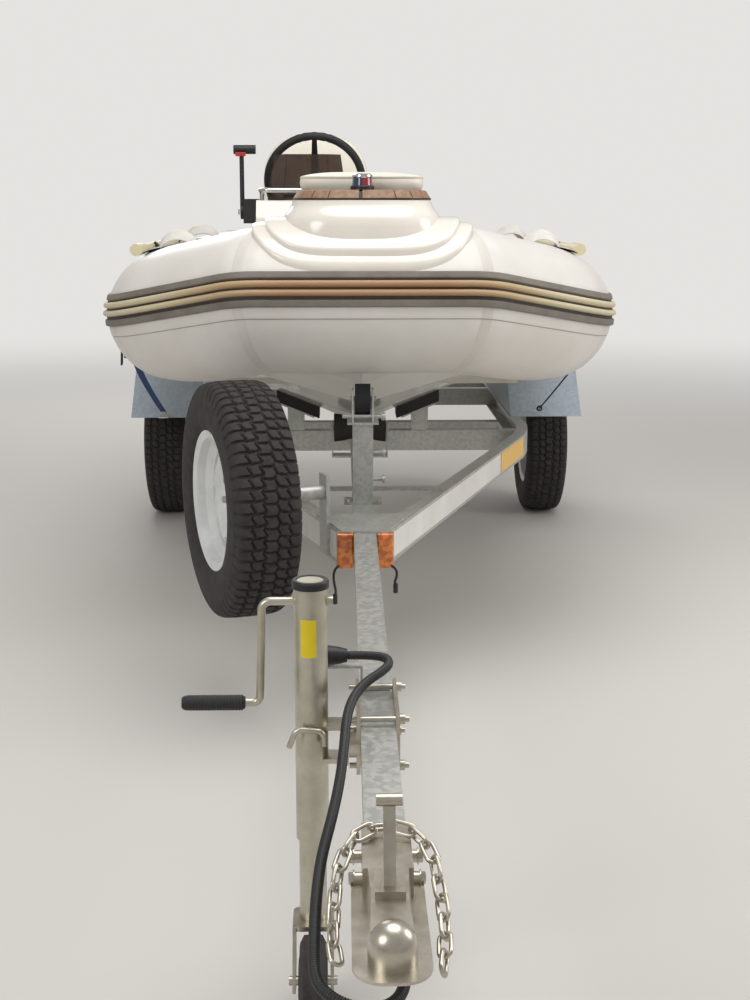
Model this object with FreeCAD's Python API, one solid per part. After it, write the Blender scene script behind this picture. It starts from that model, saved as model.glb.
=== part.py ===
import FreeCAD, Part
import math
import os

# A small rigid-hull inflatable boat with console and outboard, standing on its road trailer.
# Millimetres. +Z up, the bow and the coupler point to -Y, the origin is on the ground
# under the middle of the outfit. Port is +X, starboard is -X.

V = FreeCAD.Vector

# Running and seating gaps
seat_gap = 0.3
weld = 1.0

# Buoyancy collar, its centreline
collar_radius = 215.0
collar_x = 600.0
collar_z = 1040.0
bow_y = -362.5
bow_z = 1115.0
bow_half_width = 270.0
shoulder_y = -32.5
collar_end_y = 2507.5
cone_length = 230.0
cone_tip_radius = 75.0

# Rubbing strake, wrapped on the collar between two angles above its middle
strake_low_deg = -9.0
strake_high_deg = 17.5
strake_base = 6.0
strake_band = 10.0
strake_rib = 15.0

# Rigid hull
keel_z = 555.0
hull_half_width = 560.0
deadrise_deg = 22.0
chine_flat = 24.0
hull_top_z = 825.0
bow_deck_z = 1000.0
deck_thickness = 20.0
deck_half_width = 505.0
transom_y = 2367.5
transom_thickness = 50.0
transom_top_z = 1060.0
transom_half_width = 470.0

# Bow locker
locker_width = 472.0
locker_waist_z = 1362.0
locker_top_z = 1428.0
locker_front_y = -520.0
locker_back_y = -60.0
locker_taper = 42.0
cushion_width = 370.0
cushion_front_y = -375.0
cushion_back_y = -85.0
cushion_height = 54.0
lamp_y = -425.0
lamp_radius = 26.0
lamp_height = 46.0

# Oars stowed on the tubes' outer shoulders
oar_deg = 46.5
oar_lift = 47.0
oar_radius = 15.0
oar_grip_radius = 21.0
oar_front_y = 480.0
oar_blade_y = 1900.0
oar_clip_ys = (905.0, 1690.0)

# Console, helm seat and steering
console_x = -165.0
console_width = 380.0
console_front_y = 412.5
console_back_y = 682.5
console_top_z = 1400.0
dash_y = 640.0
screen_x = -180.0
screen_width = 280.0
screen_height = 158.0
screen_y = 485.0
screen_thickness = 5.5
rail_tube_radius = 8.0
rail_lift = 34.0
wheel_centre = V(-155.0, 677.5, 1468.0)
wheel_radius = 170.0
wheel_rim = 15.0
wheel_dish = 40.0
column_deg = 25.0
boss_length = 110.0
boss_radius = 30.0
control_y = 600.0
seat_x = -165.0
seat_width = 440.0
seat_front_y = 1032.5
seat_depth = 318.0
seat_z = 1150.0
seat_pad = 80.0
backrest_y = 1362.5
backrest_low_z = 1250.0
backrest_top_z = 1676.0
backrest_thickness = 80.0
backrest_corner = 130.0

# Outboard engine
tilt_y = 2465.5
tilt_z = 1045.0
tilt_pin_radius = 12.0
steer_y = 2540.0
steer_pin_radius = 14.0
engine_y = 2722.5
cowl_width = 290.0
cowl_base_z = 1120.0
cowl_height = 400.0
shaft_z = 440.0
vent_plate_z = 545.0
propeller_radius = 96.0
skeg_z = 332.0

# Trailer frame
frame_top_z = 520.0
drawbar_width = 60.0
drawbar_height = 60.0
drawbar_wall = 4.0
ball_y = -2917.5
apex_y = -817.5
apex_half_width = 62.0
apex_plate_length = 220.0
rail_height = 90.0
rail_flange = 45.0
rail_wall = 5.0
rail_x = 680.0
bend_y = 902.5
bend_run = 120.0
knee_share = 0.3
rail_end_y = 2432.5
beam_width = 50.0
front_beam_y = 947.5
rear_beam_y = 2182.5
strap_y = -262.5

# Road wheels and axle
axle_y = 1832.5
track_x = 846.0
tyre_radius = 320.0
tyre_width = 178.0
spare_width = 185.0
rim_radius = 190.0
bead_radius = 178.0
stub_radius = 15.0
axle_beam = 60.0
axle_beam_y = 1702.5
arm_x = 690.0
arm_thickness = 22.0

# Mudguards
guard_in_x = 640.0
guard_out_x = 935.0
guard_top_z = 750.0
guard_sheet = 4.0
guard_lip = 35.0
guard_front_y = 1237.5
guard_rise_y = 1482.5
guard_fall_y = 2162.5
guard_rear_y = 2412.5

# Spare wheel beside the starboard arm
spare_foot_y = -697.0
spare_offset = 252.0
spare_z = 610.0

# Winch post and winch
post_y = -422.5
post_size = 60.0
post_top_z = 760.0
drum_radius = 45.0
drum_width = 46.0
drum_z = 830.0

# Hull supports
roller_waist = 36.0
roller_end = 50.0
roller_half = 90.0
front_roller_y = 337.5
front_keel_z = 660.0
rear_roller_y = 2270.0
pad_in_x = 150.0
pad_out_x = 315.0
pad_length = 145.0
pad_thickness = 46.0

# Coupler
ball_z = 508.0
ball_radius = 25.0
dome_radius = 31.0
flange_half = 50.0
flange_z = 482.0
shell_half = 28.0

# Safety chain
chain_wire = 6.0
chain_pitch = 32.0
chain_width = 24.0
chain_play = 2.4

# Jockey stand
jack_x = -114.0
jack_y = -2212.5
jack_pivot_z = 490.0
jack_outer_radius = 28.5
jack_bore_radius = 24.6
jack_inner_radius = 24.0
jack_wall = 3.0
jack_top_z = 768.0
jack_bottom_z = 312.0
leg_top_z = 480.0
crown_z = 160.0
jockey_radius = 76.0
jockey_width = 50.0
jockey_trail = 72.0
crank_z = 740.0
crank_arm_x = -196.0
grip_z = 560.0
grip_radius = 14.0
grip_length = 110.0

# Lighting lead, its points chosen along its lie from the plug to the drawbar
lead_radius = 8.5
lead_points = (
    V(-52, -2048, 588), V(-10, -2048, 588), V(19, -2068, 590), V(24, -2102, 589), V(8, -2136, 586),
    V(-18, -2168, 581), V(-41, -2218, 574), V(-54, -2294, 566), V(-58, -2378, 551), V(-64, -2466, 531),
    V(-76, -2552, 508), V(-92, -2634, 482), V(-98, -2714, 460), V(-99, -2784, 440), V(-98, -2849, 420),
    V(-76, -2879, 411), V(-40, -2891, 403), V(-4, -2879, 398), V(18, -2849, 400), V(22, -2800, 410),
    V(20, -2752, 430),
)
plug_radius = 20.0
plug_length = 50.0


def box(x0, x1, y0, y1, z0, z1):
    return Part.makeBox(x1 - x0, y1 - y0, z1 - z0, V(x0, y0, z0))


def rod(start, end, radius):
    return Part.makeCylinder(radius, (end - start).Length, start, end - start)


def ring(start, end, radius, bore):
    return rod(start, end, radius).cut(rod(start, end, bore))


def plate(points, normal, thickness):
    return Part.Face(Part.makePolygon(list(points) + [points[0]])).extrude(normal * thickness)


def unit(vector):
    return V(vector).normalize()


def mirror(shape):
    return shape.mirror(V(0, 0, 0), V(1, 0, 0))


def half_space(point, normal, size=4000.0):
    block = Part.makeBox(size, size, size, V(-size / 2, -size / 2, 0))
    block.Placement = FreeCAD.Placement(point, FreeCAD.Rotation(V(0, 0, 1), normal))
    return block


def fuse(shapes):
    whole = shapes[0].multiFuse(shapes[1:]) if len(shapes) > 1 else shapes[0]
    return whole.removeSplitter()


def largest(shape):
    return max(shape.Solids, key=lambda solid: solid.Volume)


def save(name, shapes):
    solids = []
    for shape in shapes:
        solids.extend(shape.Solids)
    whole = solids[0] if len(solids) == 1 else Part.makeCompound(solids)
    if not whole.isValid() or min(solid.Volume for solid in solids) <= 0:
        print("not valid:", name)
    whole.exportStep(os.path.join("parts", name + ".step"))


def round_edges(shape, radius, chosen):
    edges = [edge for edge in shape.Edges if chosen(edge)]
    return shape.makeFillet(radius, edges) if edges else shape


def upright(edge):
    return abs(edge.tangentAt(edge.FirstParameter).z) > 0.9


def rounded_block(x0, x1, y0, y1, z0, z1, corner):
    """Block with its four upright corners rounded."""
    return round_edges(box(x0, x1, y0, y1, z0, z1), corner, upright)


def revolved(profile, centre, axis, start, degrees=360.0):
    """Solid of revolution. The profile holds (along, out) pairs from the centre along axis and start."""
    points = [centre + axis * along + start * out for along, out in profile]
    return Part.Face(Part.makePolygon(points + [points[0]])).revolve(centre, axis, degrees)


def path_normals(points, closed=False):
    """The normal of the section plane at each point: along the path at an open end, the bisector elsewhere."""
    count = len(points)
    normals = []
    for i in range(count):
        inner = closed or 0 < i < count - 1
        before = points[i] - points[i - 1] if (i > 0 or closed) else points[1] - points[0]
        after = points[(i + 1) % count] - points[i] if (inner or i == 0) else before
        normals.append(unit(unit(before) + unit(after)))
    return normals


def mitred_bar(points, section, closed=False):
    """A bar with flat mitred joints: each corner of the first section runs along each leg to the next mitre plane."""
    normals = path_normals(points, closed)
    corners = list(section)
    rings = []
    for i, point in enumerate(points):
        way = unit(points[i] - points[i - 1]) if (i > 0 or closed) else unit(points[1] - points[0])
        corners = [c + way * ((point - c).dot(normals[i]) / way.dot(normals[i])) for c in corners]
        rings.append(corners)
    faces = []
    legs = len(points) if closed else len(points) - 1
    for i in range(legs):
        one, two = rings[i], rings[(i + 1) % len(points)]
        for k in range(len(section)):
            m = (k + 1) % len(section)
            faces.append(Part.Face(Part.makePolygon([one[k], one[m], two[m], two[k], one[k]])))
    if not closed:
        for end in (rings[0], rings[-1]):
            faces.append(Part.Face(Part.makePolygon(end + [end[0]])))
    solid = Part.Solid(Part.Shell(faces))
    if solid.Volume < 0:
        solid.reverse()
    return solid


def tube_legs(points, radius):
    """The straight legs of a round tube, each cut on the mitre planes at its ends."""
    normals = path_normals(points)
    legs = []
    for i in range(len(points) - 1):
        way = unit(points[i + 1] - points[i])
        reach = radius * 1.2
        leg = rod(points[i] - way * reach, points[i + 1] + way * reach, radius)
        leg = leg.common(half_space(points[i], normals[i]))
        legs.append(leg.cut(half_space(points[i + 1], normals[i + 1])))
    return legs


def bent_path(points, bends):
    """Straight runs joined by tangent arcs; bends holds the radius at each inner point."""
    edges = []
    start = points[0]
    for i in range(1, len(points) - 1):
        back = unit(points[i - 1] - points[i])
        ahead = unit(points[i + 1] - points[i])
        turn = math.pi - back.getAngle(ahead)
        cut = bends[i - 1] * math.tan(turn / 2)
        enter = points[i] + back * cut
        leave = points[i] + ahead * cut
        middle = unit(back + ahead)
        centre = points[i] + middle * (bends[i - 1] / math.cos(turn / 2))
        edges.append(Part.LineSegment(start, enter).toShape())
        edges.append(Part.Arc(enter, centre - middle * bends[i - 1], leave).toShape())
        start = leave
    edges.append(Part.LineSegment(start, points[-1]).toShape())
    return Part.Wire(edges)


def bent_rod(points, bends, radius):
    circle = Part.Wire(Part.makeCircle(radius, points[0], points[1] - points[0]))
    return bent_path(points, bends).makePipeShell([circle], True, False)


# Collar: two straight sides, and a mitred bow that rises forward
collar_path = (
    V(0, bow_y, bow_z),
    V(bow_half_width, bow_y, bow_z),
    V(collar_x, shoulder_y, collar_z),
    V(collar_x, collar_end_y, collar_z),
)


def bow_legs(radius):
    legs = tube_legs(collar_path, radius)[:2]
    return legs + [mirror(leg) for leg in legs]


def side_leg(radius):
    leg = tube_legs(collar_path, radius)[2]
    growth = radius - collar_radius
    cone = Part.makeCone(radius, cone_tip_radius + growth, cone_length, collar_path[3], V(0, 1, 0))
    return fuse([leg, cone])


def tube_bow():
    return fuse(bow_legs(collar_radius))


def tube_port():
    return side_leg(collar_radius)


def collar_keepout(gap=seat_gap):
    """The collar grown by a gap, for cutting what is bonded or seated against it."""
    side = side_leg(collar_radius + gap)
    return [fuse(bow_legs(collar_radius + gap)), side, mirror(side)]


keepouts = collar_keepout()


def off_collar(shape):
    for keepout in keepouts:
        shape = shape.cut(keepout)
    return shape


def collar_polar(degrees, radius):
    turn = math.radians(degrees)
    return collar_path[3] + V(radius * math.cos(turn), 0, radius * math.sin(turn))


strake_profile = (
    # share of the strake's height, height over its seat on the collar
    (1.0, strake_base), (0.97, strake_band), (0.76, strake_band), (0.74, strake_base),
    (0.69, strake_rib), (0.55, strake_rib), (0.5, strake_base),
    (0.45, strake_rib), (0.31, strake_rib), (0.26, strake_base),
    (0.24, strake_band), (0.03, strake_band), (0.0, strake_base),
)
strake_chords = 4


def rub_strake():
    """The strake's section at the stern end of the straight tube, carried round to the bow on the mitre planes."""
    span = strake_high_deg - strake_low_deg
    seat = (collar_radius + seat_gap) / math.cos(math.radians(span / strake_chords / 2))
    section = [collar_polar(strake_low_deg + span * k / strake_chords, seat) for k in range(strake_chords + 1)]
    section += [collar_polar(strake_low_deg + span * share, seat + out) for share, out in strake_profile]
    bar = mitred_bar(list(reversed(collar_path)), section)
    return fuse([bar, mirror(bar)])


# Hull
slope = math.tan(math.radians(deadrise_deg))
chine_z = keel_z + (hull_half_width - chine_flat) * slope
hull_stations = (
    # y, keel height, half width at the chine, chine height
    (transom_y, keel_z, hull_half_width, chine_z),
    (882.5, keel_z, hull_half_width, chine_z),
    (front_roller_y, front_keel_z, 470.0, 828.0),
    (shoulder_y, 760.0, 370.0, 862.0),
    (-200.0, 845.0, 200.0, 905.0),
    (-310.0, 896.0, 46.0, 904.0),
)


def hull_outline(y, keel, half, chine, top):
    right = [V(half - chine_flat, y, chine), V(half, y, chine), V(half, y, top)]
    left = [V(-p.x, y, p.z) for p in reversed(right)]
    return [V(0, y, keel)] + right + left


def hull():
    """Lofted vee bottom with a chine flat, cut to the collar, with the transom board and a raised bow deck."""
    wires = []
    for y, keel, half, chine in hull_stations:
        outline = hull_outline(y, keel, half, chine, bow_deck_z)
        wires.append(Part.makePolygon(outline + [outline[0]]))
    body = Part.makeLoft(wires, True, True)
    body = largest(off_collar(body))
    well = box(-collar_x, collar_x, shoulder_y, transom_y + weld, hull_top_z, bow_deck_z + weld)
    body = body.cut(well)
    outline = hull_outline(transom_y, keel_z, hull_half_width, chine_z, hull_top_z)
    board = plate(outline, V(0, 1, 0), transom_thickness)
    upper = box(-transom_half_width, transom_half_width, transom_y, transom_y + transom_thickness,
                hull_top_z, transom_top_z)
    return largest(off_collar(fuse([body, board, upper])))


def deck():
    half = deck_half_width
    mat = box(-half, half, shoulder_y, transom_y, hull_top_z, hull_top_z + deck_thickness)
    return largest(off_collar(mat))


deck_z = hull_top_z + deck_thickness


# Bow locker
locker_aprons = (
    # width, rise off the collar, front edge y, lowest edge z
    (640.0, 16.0, -575.0, 1209.0),
    (560.0, 34.0, -562.0, 1236.0),
)


def bow_outline(width, front_y, back_y, z):
    """Plan outline with a straight back, straight flanks and one round front."""
    half = width / 2
    shoulder = front_y + half * 0.62
    corners = (V(half, shoulder, z), V(half, back_y, z), V(-half, back_y, z), V(-half, shoulder, z))
    edges = [Part.LineSegment(a, b).toShape() for a, b in zip(corners, corners[1:])]
    edges.append(Part.Arc(corners[3], V(0, front_y, z), corners[0]).toShape())
    return Part.Wire(edges)


def bow_locker():
    """Moulded locker: a round-fronted body on two stepped skirts that lie on the collar."""
    base = bow_outline(locker_width, locker_front_y, locker_back_y, bow_deck_z + seat_gap)
    waist = bow_outline(locker_width, locker_front_y, locker_back_y, locker_waist_z)
    top = bow_outline(locker_width - 2 * locker_taper, locker_front_y + locker_taper, locker_back_y, locker_top_z)
    pieces = [Part.makeLoft([base, waist], True, True), Part.makeLoft([waist, top], True, True)]
    for width, rise, front_y, low_z in locker_aprons:
        outline = Part.Face(bow_outline(width, front_y, bow_y, low_z)).extrude(V(0, 0, locker_top_z - low_z))
        skirt = outline.common(fuse(bow_legs(collar_radius + rise)))
        pieces.append(skirt)
    return largest(off_collar(fuse(pieces)))


def bow_cushion():
    z = locker_top_z + seat_gap
    pad = rounded_block(-cushion_width / 2, cushion_width / 2, cushion_front_y, cushion_back_y,
                        z, z + cushion_height, 60.0)
    return round_edges(pad, 18.0, lambda edge: edge.BoundBox.ZMin > z + cushion_height - 1)


def nav_lamp():
    r = lamp_radius
    profile = [(0, 0), (0, r), (12, r), (14, r - 4), (36, r - 6), (42, r - 10), (lamp_height, r - 16), (lamp_height, 0)]
    return revolved(profile, V(0, lamp_y, locker_top_z + seat_gap), V(0, 0, 1), V(1, 0, 0))


# Console, steering and engine control
def column_axis():
    lean = math.radians(column_deg)
    return V(0, math.cos(lean), math.sin(lean))


def console():
    """Console moulding with a raked front and dash, and the boss that carries the steering shaft."""
    x0 = console_x - console_width / 2
    z = console_top_z
    side = [
        V(x0, console_front_y, deck_z + seat_gap), V(x0, console_front_y + 12, z - 60),
        V(x0, console_front_y + 40, z), V(x0, dash_y - 70, z), V(x0, dash_y, z - 70), V(x0, dash_y, z - 210),
        V(x0, console_back_y, z - 250), V(x0, console_back_y, deck_z + seat_gap),
    ]
    body = plate(side, V(1, 0, 0), console_width)
    body = round_edges(body, 18.0, lambda edge: abs(edge.BoundBox.XLength - console_width) < 1)
    axis = column_axis()
    end = wheel_centre - axis * (wheel_dish + 12 + seat_gap)
    boss = rod(end - axis * boss_length, end, boss_radius)
    return fuse([body, boss])


def steering_wheel():
    axis = column_axis()
    across = V(1, 0, 0)
    up = axis.cross(across)
    back = wheel_centre - axis * wheel_dish
    pieces = [Part.makeTorus(wheel_radius, wheel_rim, wheel_centre, axis)]
    pieces.append(rod(back - axis * 12, back + axis * 22, 38.0))
    for degrees in (90, 210, 330):
        turn = math.radians(degrees)
        way = across * math.cos(turn) - up * math.sin(turn)
        pieces.append(rod(back + way * 20, wheel_centre + way * wheel_radius, 8.5))
    return fuse(pieces)


def windscreen():
    """Smoked screen: a leaning plate wrapped round the front of the console top."""
    half = screen_width / 2
    wrap = 55.0
    foot = [V(-half, wrap, 0), V(-half + wrap, 8, 0), V(half - wrap, 8, 0), V(half, wrap, 0)]
    inner = [V(p.x * (1 - 2 * screen_thickness / screen_width), p.y + screen_thickness, 0) for p in foot]
    loop = foot + list(reversed(inner))
    wires = []
    for share, lean, lift in ((1.0, 0.0, seat_gap), (0.84, 40.0, screen_height)):
        spots = [V(screen_x + p.x * share, screen_y + p.y + lean, console_top_z + lift) for p in loop]
        wires.append(Part.makePolygon(spots + [spots[0]]))
    return Part.makeLoft(wires, True, True)


def console_rail():
    """Grab rail on two short feet round the front and starboard side of the console top."""
    r = rail_tube_radius
    x0 = console_x - console_width / 2 + 6 + r
    x1 = console_x + console_width / 2 - 6 - r
    y0 = console_front_y + 40 + r
    low = console_top_z + seat_gap
    high = low + rail_lift
    points = [V(x0, dash_y - 80, low), V(x0, dash_y - 80, high), V(x0, y0, high), V(x1, y0, high), V(x1, y0, low)]
    return bent_rod(points, [16.0, 30.0, 16.0], r)


def engine_control():
    x1 = console_x - console_width / 2 - seat_gap
    y, z = control_y, 1360.0
    pieces = [box(x1 - 52, x1, y - 45, y + 45, z - 40, z + 45)]
    pieces.append(rod(V(x1 - 64, y, z), V(x1 - 50, y, z), 26.0))
    pieces.append(rod(V(x1 - 58, y, z), V(x1 - 58, y + 10, z + 215), 8.0))
    pieces.append(rod(V(x1 - 86, y + 10, z + 216), V(x1 - 8, y + 10, z + 216), 16.0))
    return fuse(pieces)


# Helm seat
def seat_base():
    """Seat moulding with the backrest's carrier plate behind it."""
    x0, x1 = seat_x - seat_width / 2 + 10, seat_x + seat_width / 2 - 10
    low = deck_z + seat_gap
    body = rounded_block(x0, x1, seat_front_y + 20, seat_front_y + seat_depth, low, seat_z, 35.0)
    back_y = backrest_y + backrest_thickness + seat_gap
    foot = box(seat_x - 110, seat_x + 110, seat_front_y + seat_depth - weld, back_y + 14, 1000.0, 1030.0)
    post = box(seat_x - 110, seat_x + 110, back_y, back_y + 14, 1000.0, backrest_top_z - 140)
    return fuse([body, foot, post])


def seat_cushions():
    x0, x1 = seat_x - seat_width / 2, seat_x + seat_width / 2
    z = seat_z + seat_gap
    pad = rounded_block(x0, x1, seat_front_y, seat_front_y + seat_depth, z, z + seat_pad, 50.0)
    pad = round_edges(pad, 18.0, lambda edge: edge.BoundBox.ZMin > z + seat_pad - 1)
    back = box(x0, x1, backrest_y, backrest_y + backrest_thickness, backrest_low_z, backrest_top_z)
    corners = lambda edge: edge.BoundBox.ZMin > backrest_top_z - 1 and edge.BoundBox.XLength < 1
    return [pad, round_edges(back, backrest_corner, corners)]


# Outboard engine
transom_back_y = transom_y + transom_thickness


def engine_bracket():
    """Clamp bracket hooked over the transom, with the tilt pin through its two cheeks."""
    cheeks = []
    z = transom_top_z + seat_gap
    y0, y1 = transom_y - seat_gap, transom_back_y + seat_gap
    for side in (-1, 1):
        inner, outer = sorted((side * 62, side * 78))
        profile = [(y0 - 36, z + 12), (tilt_y + 10, z + 24), (tilt_y + 26, tilt_z), (tilt_y + 10, tilt_z - 30),
                   (y1 + 14, tilt_z - 190), (y1, tilt_z - 190), (y1, z), (y0, z), (y0, z - 90), (y0 - 36, z - 90)]
        cheeks.append(plate([V(inner, y, height) for y, height in profile], V(1, 0, 0), outer - inner))
    bridge = box(-63, 63, y0 - 36, y0 - 18, z - 60, z - 30)
    pin = rod(V(-82, tilt_y, tilt_z), V(82, tilt_y, tilt_z), tilt_pin_radius)
    return fuse(cheeks + [bridge, pin])


def engine_swivel():
    """Swivel: the tilt eye, the web and the upright steering sleeve."""
    eye = rod(V(-58, tilt_y, tilt_z), V(58, tilt_y, tilt_z), 24.0)
    sleeve = rod(V(0, steer_y, 822), V(0, steer_y, 1084), 30.0)
    web = box(-26, 26, tilt_y, steer_y, tilt_z - 60, tilt_z + 14)
    whole = fuse([eye, sleeve, web])
    whole = whole.cut(rod(V(-60, tilt_y, tilt_z), V(60, tilt_y, tilt_z), tilt_pin_radius + seat_gap))
    return whole.cut(rod(V(0, steer_y, 800), V(0, steer_y, 1100), steer_pin_radius + seat_gap))


cowl_sections = (
    # height above the base, width, front and back from the engine's middle, corner
    (0.0, cowl_width - 90, -140.0, 190.0, 50.0),
    (120.0, cowl_width, -205.0, 245.0, 80.0),
    (290.0, cowl_width - 10, -195.0, 240.0, 85.0),
    (cowl_height, cowl_width - 110, -110.0, 150.0, 60.0),
)


def engine_cowl():
    """Cowl lofted through rounded sections, wide in the middle with a raked nose."""
    wires = []
    for height, width, front, back, corner in cowl_sections:
        z = cowl_base_z + seat_gap + height
        slab = rounded_block(-width / 2, width / 2, engine_y + front, engine_y + back, z, z + 1, corner)
        wires.append(min(slab.Faces, key=lambda face: face.CenterOfMass.z).OuterWire)
    return Part.makeLoft(wires, True, True)


def engine_leg():
    """Engine leg with its steering pin and yokes, the plate over the propeller, the gear case and the skeg."""
    pan = rounded_block(-90, 90, engine_y - 120, engine_y + 150, cowl_base_z - 36, cowl_base_z, 45.0)
    housing = rounded_block(-62, 62, engine_y - 118, engine_y + 50, 790, cowl_base_z - 34, 30.0)
    pin = rod(V(0, steer_y, 786), V(0, steer_y, 1118), steer_pin_radius)
    yokes = [box(-24, 24, steer_y - 24, engine_y - 100, 786, 820), box(-24, 24, steer_y - 24, engine_y - 100, 1087, 1119)]
    strut = plate([V(-22, engine_y - 105, 800), V(-22, engine_y + 45, 800), V(-22, engine_y + 62, shaft_z + 20),
                   V(-22, engine_y - 62, shaft_z + 20)], V(1, 0, 0), 44)
    vent = rounded_block(-85, 85, engine_y - 60, engine_y + 170, vent_plate_z, vent_plate_z + 9, 55.0)
    case = revolved([(-110, 0), (-90, 18), (-50, 32), (20, 36), (78, 30), (78, 0)],
                    V(0, engine_y, shaft_z), V(0, 1, 0), V(1, 0, 0))
    shaft = rod(V(0, engine_y + 70, shaft_z), V(0, engine_y + 160, shaft_z), 8.0)
    skeg = plate([V(-5, engine_y - 60, shaft_z - 20), V(-5, engine_y + 50, shaft_z - 20),
                  V(-5, engine_y + 66, skeg_z), V(-5, engine_y + 30, skeg_z)], V(1, 0, 0), 10)
    return fuse([pan, housing, pin] + yokes + [strut, vent, case, shaft, skeg])


def propeller():
    """Three-bladed propeller, each blade a thin round disc set at the pitch angle."""
    y0 = engine_y + 78 + seat_gap
    centre = V(0, y0, shaft_z)
    hub = revolved([(0, 8.3), (0, 30), (60, 26), (74, 14), (74, 8.3)], centre, V(0, 1, 0), V(1, 0, 0))
    pieces = [hub]
    blade_reach = (propeller_radius - 20) / 2
    for k in range(3):
        spot = V(0, y0 + 34, shaft_z + 20 + blade_reach)
        blade = rod(spot - V(0, 2.5, 0), spot + V(0, 2.5, 0), blade_reach)
        blade.rotate(spot, V(0, 0, 1), 30)
        blade.rotate(centre, V(0, 1, 0), 120 * k)
        pieces.append(blade)
    return fuse(pieces).cut(rod(centre - V(0, 1, 0), centre + V(0, 90, 0), 8.3))


# Trailer frame
arm_lean = (rail_x - apex_half_width) / (bend_y - apex_y)
drawbar_half = drawbar_width / 2
frame_low_z = frame_top_z - rail_height
drawbar_low_z = frame_top_z - drawbar_height
beam_top_z = frame_top_z - rail_wall - seat_gap


def drawbar():
    y0, y1 = ball_y + 170, front_beam_y - beam_width / 2 - seat_gap
    w = drawbar_wall
    outer = box(-drawbar_half, drawbar_half, y0, y1, drawbar_low_z, frame_top_z)
    return outer.cut(box(-drawbar_half + w, drawbar_half - w, y0 - 1, y1 + 1, drawbar_low_z + w, frame_top_z - w))


def frame_rail():
    """Channel rail, open inwards: straight aft, round the knee in short legs, and along the arm to the drawbar."""
    x, y, z = rail_x, rail_end_y, frame_top_z
    f, w, h = rail_flange, rail_wall, rail_height
    section = [V(x, y, z), V(x - f, y, z), V(x - f, y, z - w), V(x - w, y, z - w),
               V(x - w, y, z - h + w), V(x - f, y, z - h + w), V(x - f, y, z - h), V(x, y, z - h)]
    run = bend_run
    tip = 60.0
    points = [
        V(x, y, z),
        V(x, bend_y + run, z),
        V(x - run * arm_lean * knee_share, bend_y + run * 0.1, z),
        V(x - run * arm_lean, bend_y - run, z),
        V(apex_half_width - tip * arm_lean, apex_y - tip, z),
    ]
    rail = mitred_bar(points, section)
    rail = rail.cut(box(-x, x, apex_y - 500, apex_y, 0, 2 * z))
    half = drawbar_half + seat_gap
    return largest(rail.cut(box(-half, half, apex_y - 1, bend_y, 0, 2 * z)))


def arm_outer_x(y):
    return apex_half_width + (y - apex_y) * arm_lean


def apex_plate():
    """Gusset plates over and under the arms where they meet the drawbar, and the front plates that carry the lamps."""
    back = apex_y + apex_plate_length
    wide = arm_outer_x(back) - 6
    near = apex_half_width - 2
    outline = [V(-near, apex_y, 0), V(near, apex_y, 0), V(wide, back, 0), V(-wide, back, 0)]
    pieces = []
    for low in (frame_top_z + seat_gap, frame_low_z - seat_gap - 5):
        pieces.append(plate([p + V(0, 0, low) for p in outline], V(0, 0, 1), 5.0))
    for side in (-1, 1):
        x0, x1 = sorted((side * (drawbar_half + seat_gap), side * 78))
        front_y = apex_y - seat_gap
        pieces.append(box(x0, x1, front_y - 5, front_y, frame_low_z - seat_gap - 5, frame_top_z + seat_gap + 5))
        lug_x = sorted((side * (drawbar_half + seat_gap), side * (drawbar_half + 8)))
        pieces.append(box(lug_x[0], lug_x[1], front_y - 1, apex_y + 20, frame_top_z + seat_gap, frame_top_z + 5.3))
        pieces.append(box(lug_x[0], lug_x[1], front_y - 1, apex_y + 20, frame_low_z - 5.3, frame_low_z - seat_gap))
    return fuse(pieces)


def marker_lamps():
    lamps = []
    y = apex_y - 2 * seat_gap - 5
    for side in (-1, 1):
        x0, x1 = sorted((side * (drawbar_half + 2), side * 76))
        lamp = box(x0, x1, y - 17, y, frame_low_z - 4, frame_top_z + 3)
        lamps.append(round_edges(lamp, 6.0, lambda edge: edge.BoundBox.YMax < y - 16))
    return lamps


def cross_beam(y, rail_at):
    """Channel between the rails, open downwards, its ends inside the rails' flanges."""
    half = rail_at - rail_wall - seat_gap
    low = frame_low_z + rail_wall + seat_gap
    y0, y1 = y - beam_width / 2, y + beam_width / 2
    beam = box(-half, half, y0, y1, low, beam_top_z)
    return beam.cut(box(-half - 1, half + 1, y0 + 5, y1 - 5, low - 1, beam_top_z - 5))


def cross_members():
    half = arm_outer_x(strap_y) - 10
    z = frame_top_z + seat_gap
    strap = box(-half, half, strap_y, strap_y + 45, z, z + 6)
    knee_x = rail_x - bend_run * arm_lean * knee_share
    return [cross_beam(front_beam_y, knee_x), cross_beam(rear_beam_y, rail_x), strap]


def axle():
    """Square beam under the rails with a trailing arm and a stub axle at each end."""
    high = frame_low_z - seat_gap
    y0, y1 = axle_beam_y - axle_beam / 2, axle_beam_y + axle_beam / 2
    pieces = [box(-arm_x, arm_x, y0, y1, high - axle_beam, high)]
    r = tyre_radius
    profile = [(y0, high), (y1, high), (axle_y + 30, r + 28), (axle_y + 30, r - 30), (axle_y - 30, r - 30),
               (y0, high - axle_beam)]
    for side in (-1, 1):
        x0, x1 = sorted((side * arm_x, side * (arm_x + arm_thickness)))
        pieces.append(plate([V(x0, y, z) for y, z in profile], V(1, 0, 0), x1 - x0))
        pieces.append(rod(V(side * arm_x, axle_y, r), V(side * (track_x - 4), axle_y, r), stub_radius))
    return fuse(pieces)


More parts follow.
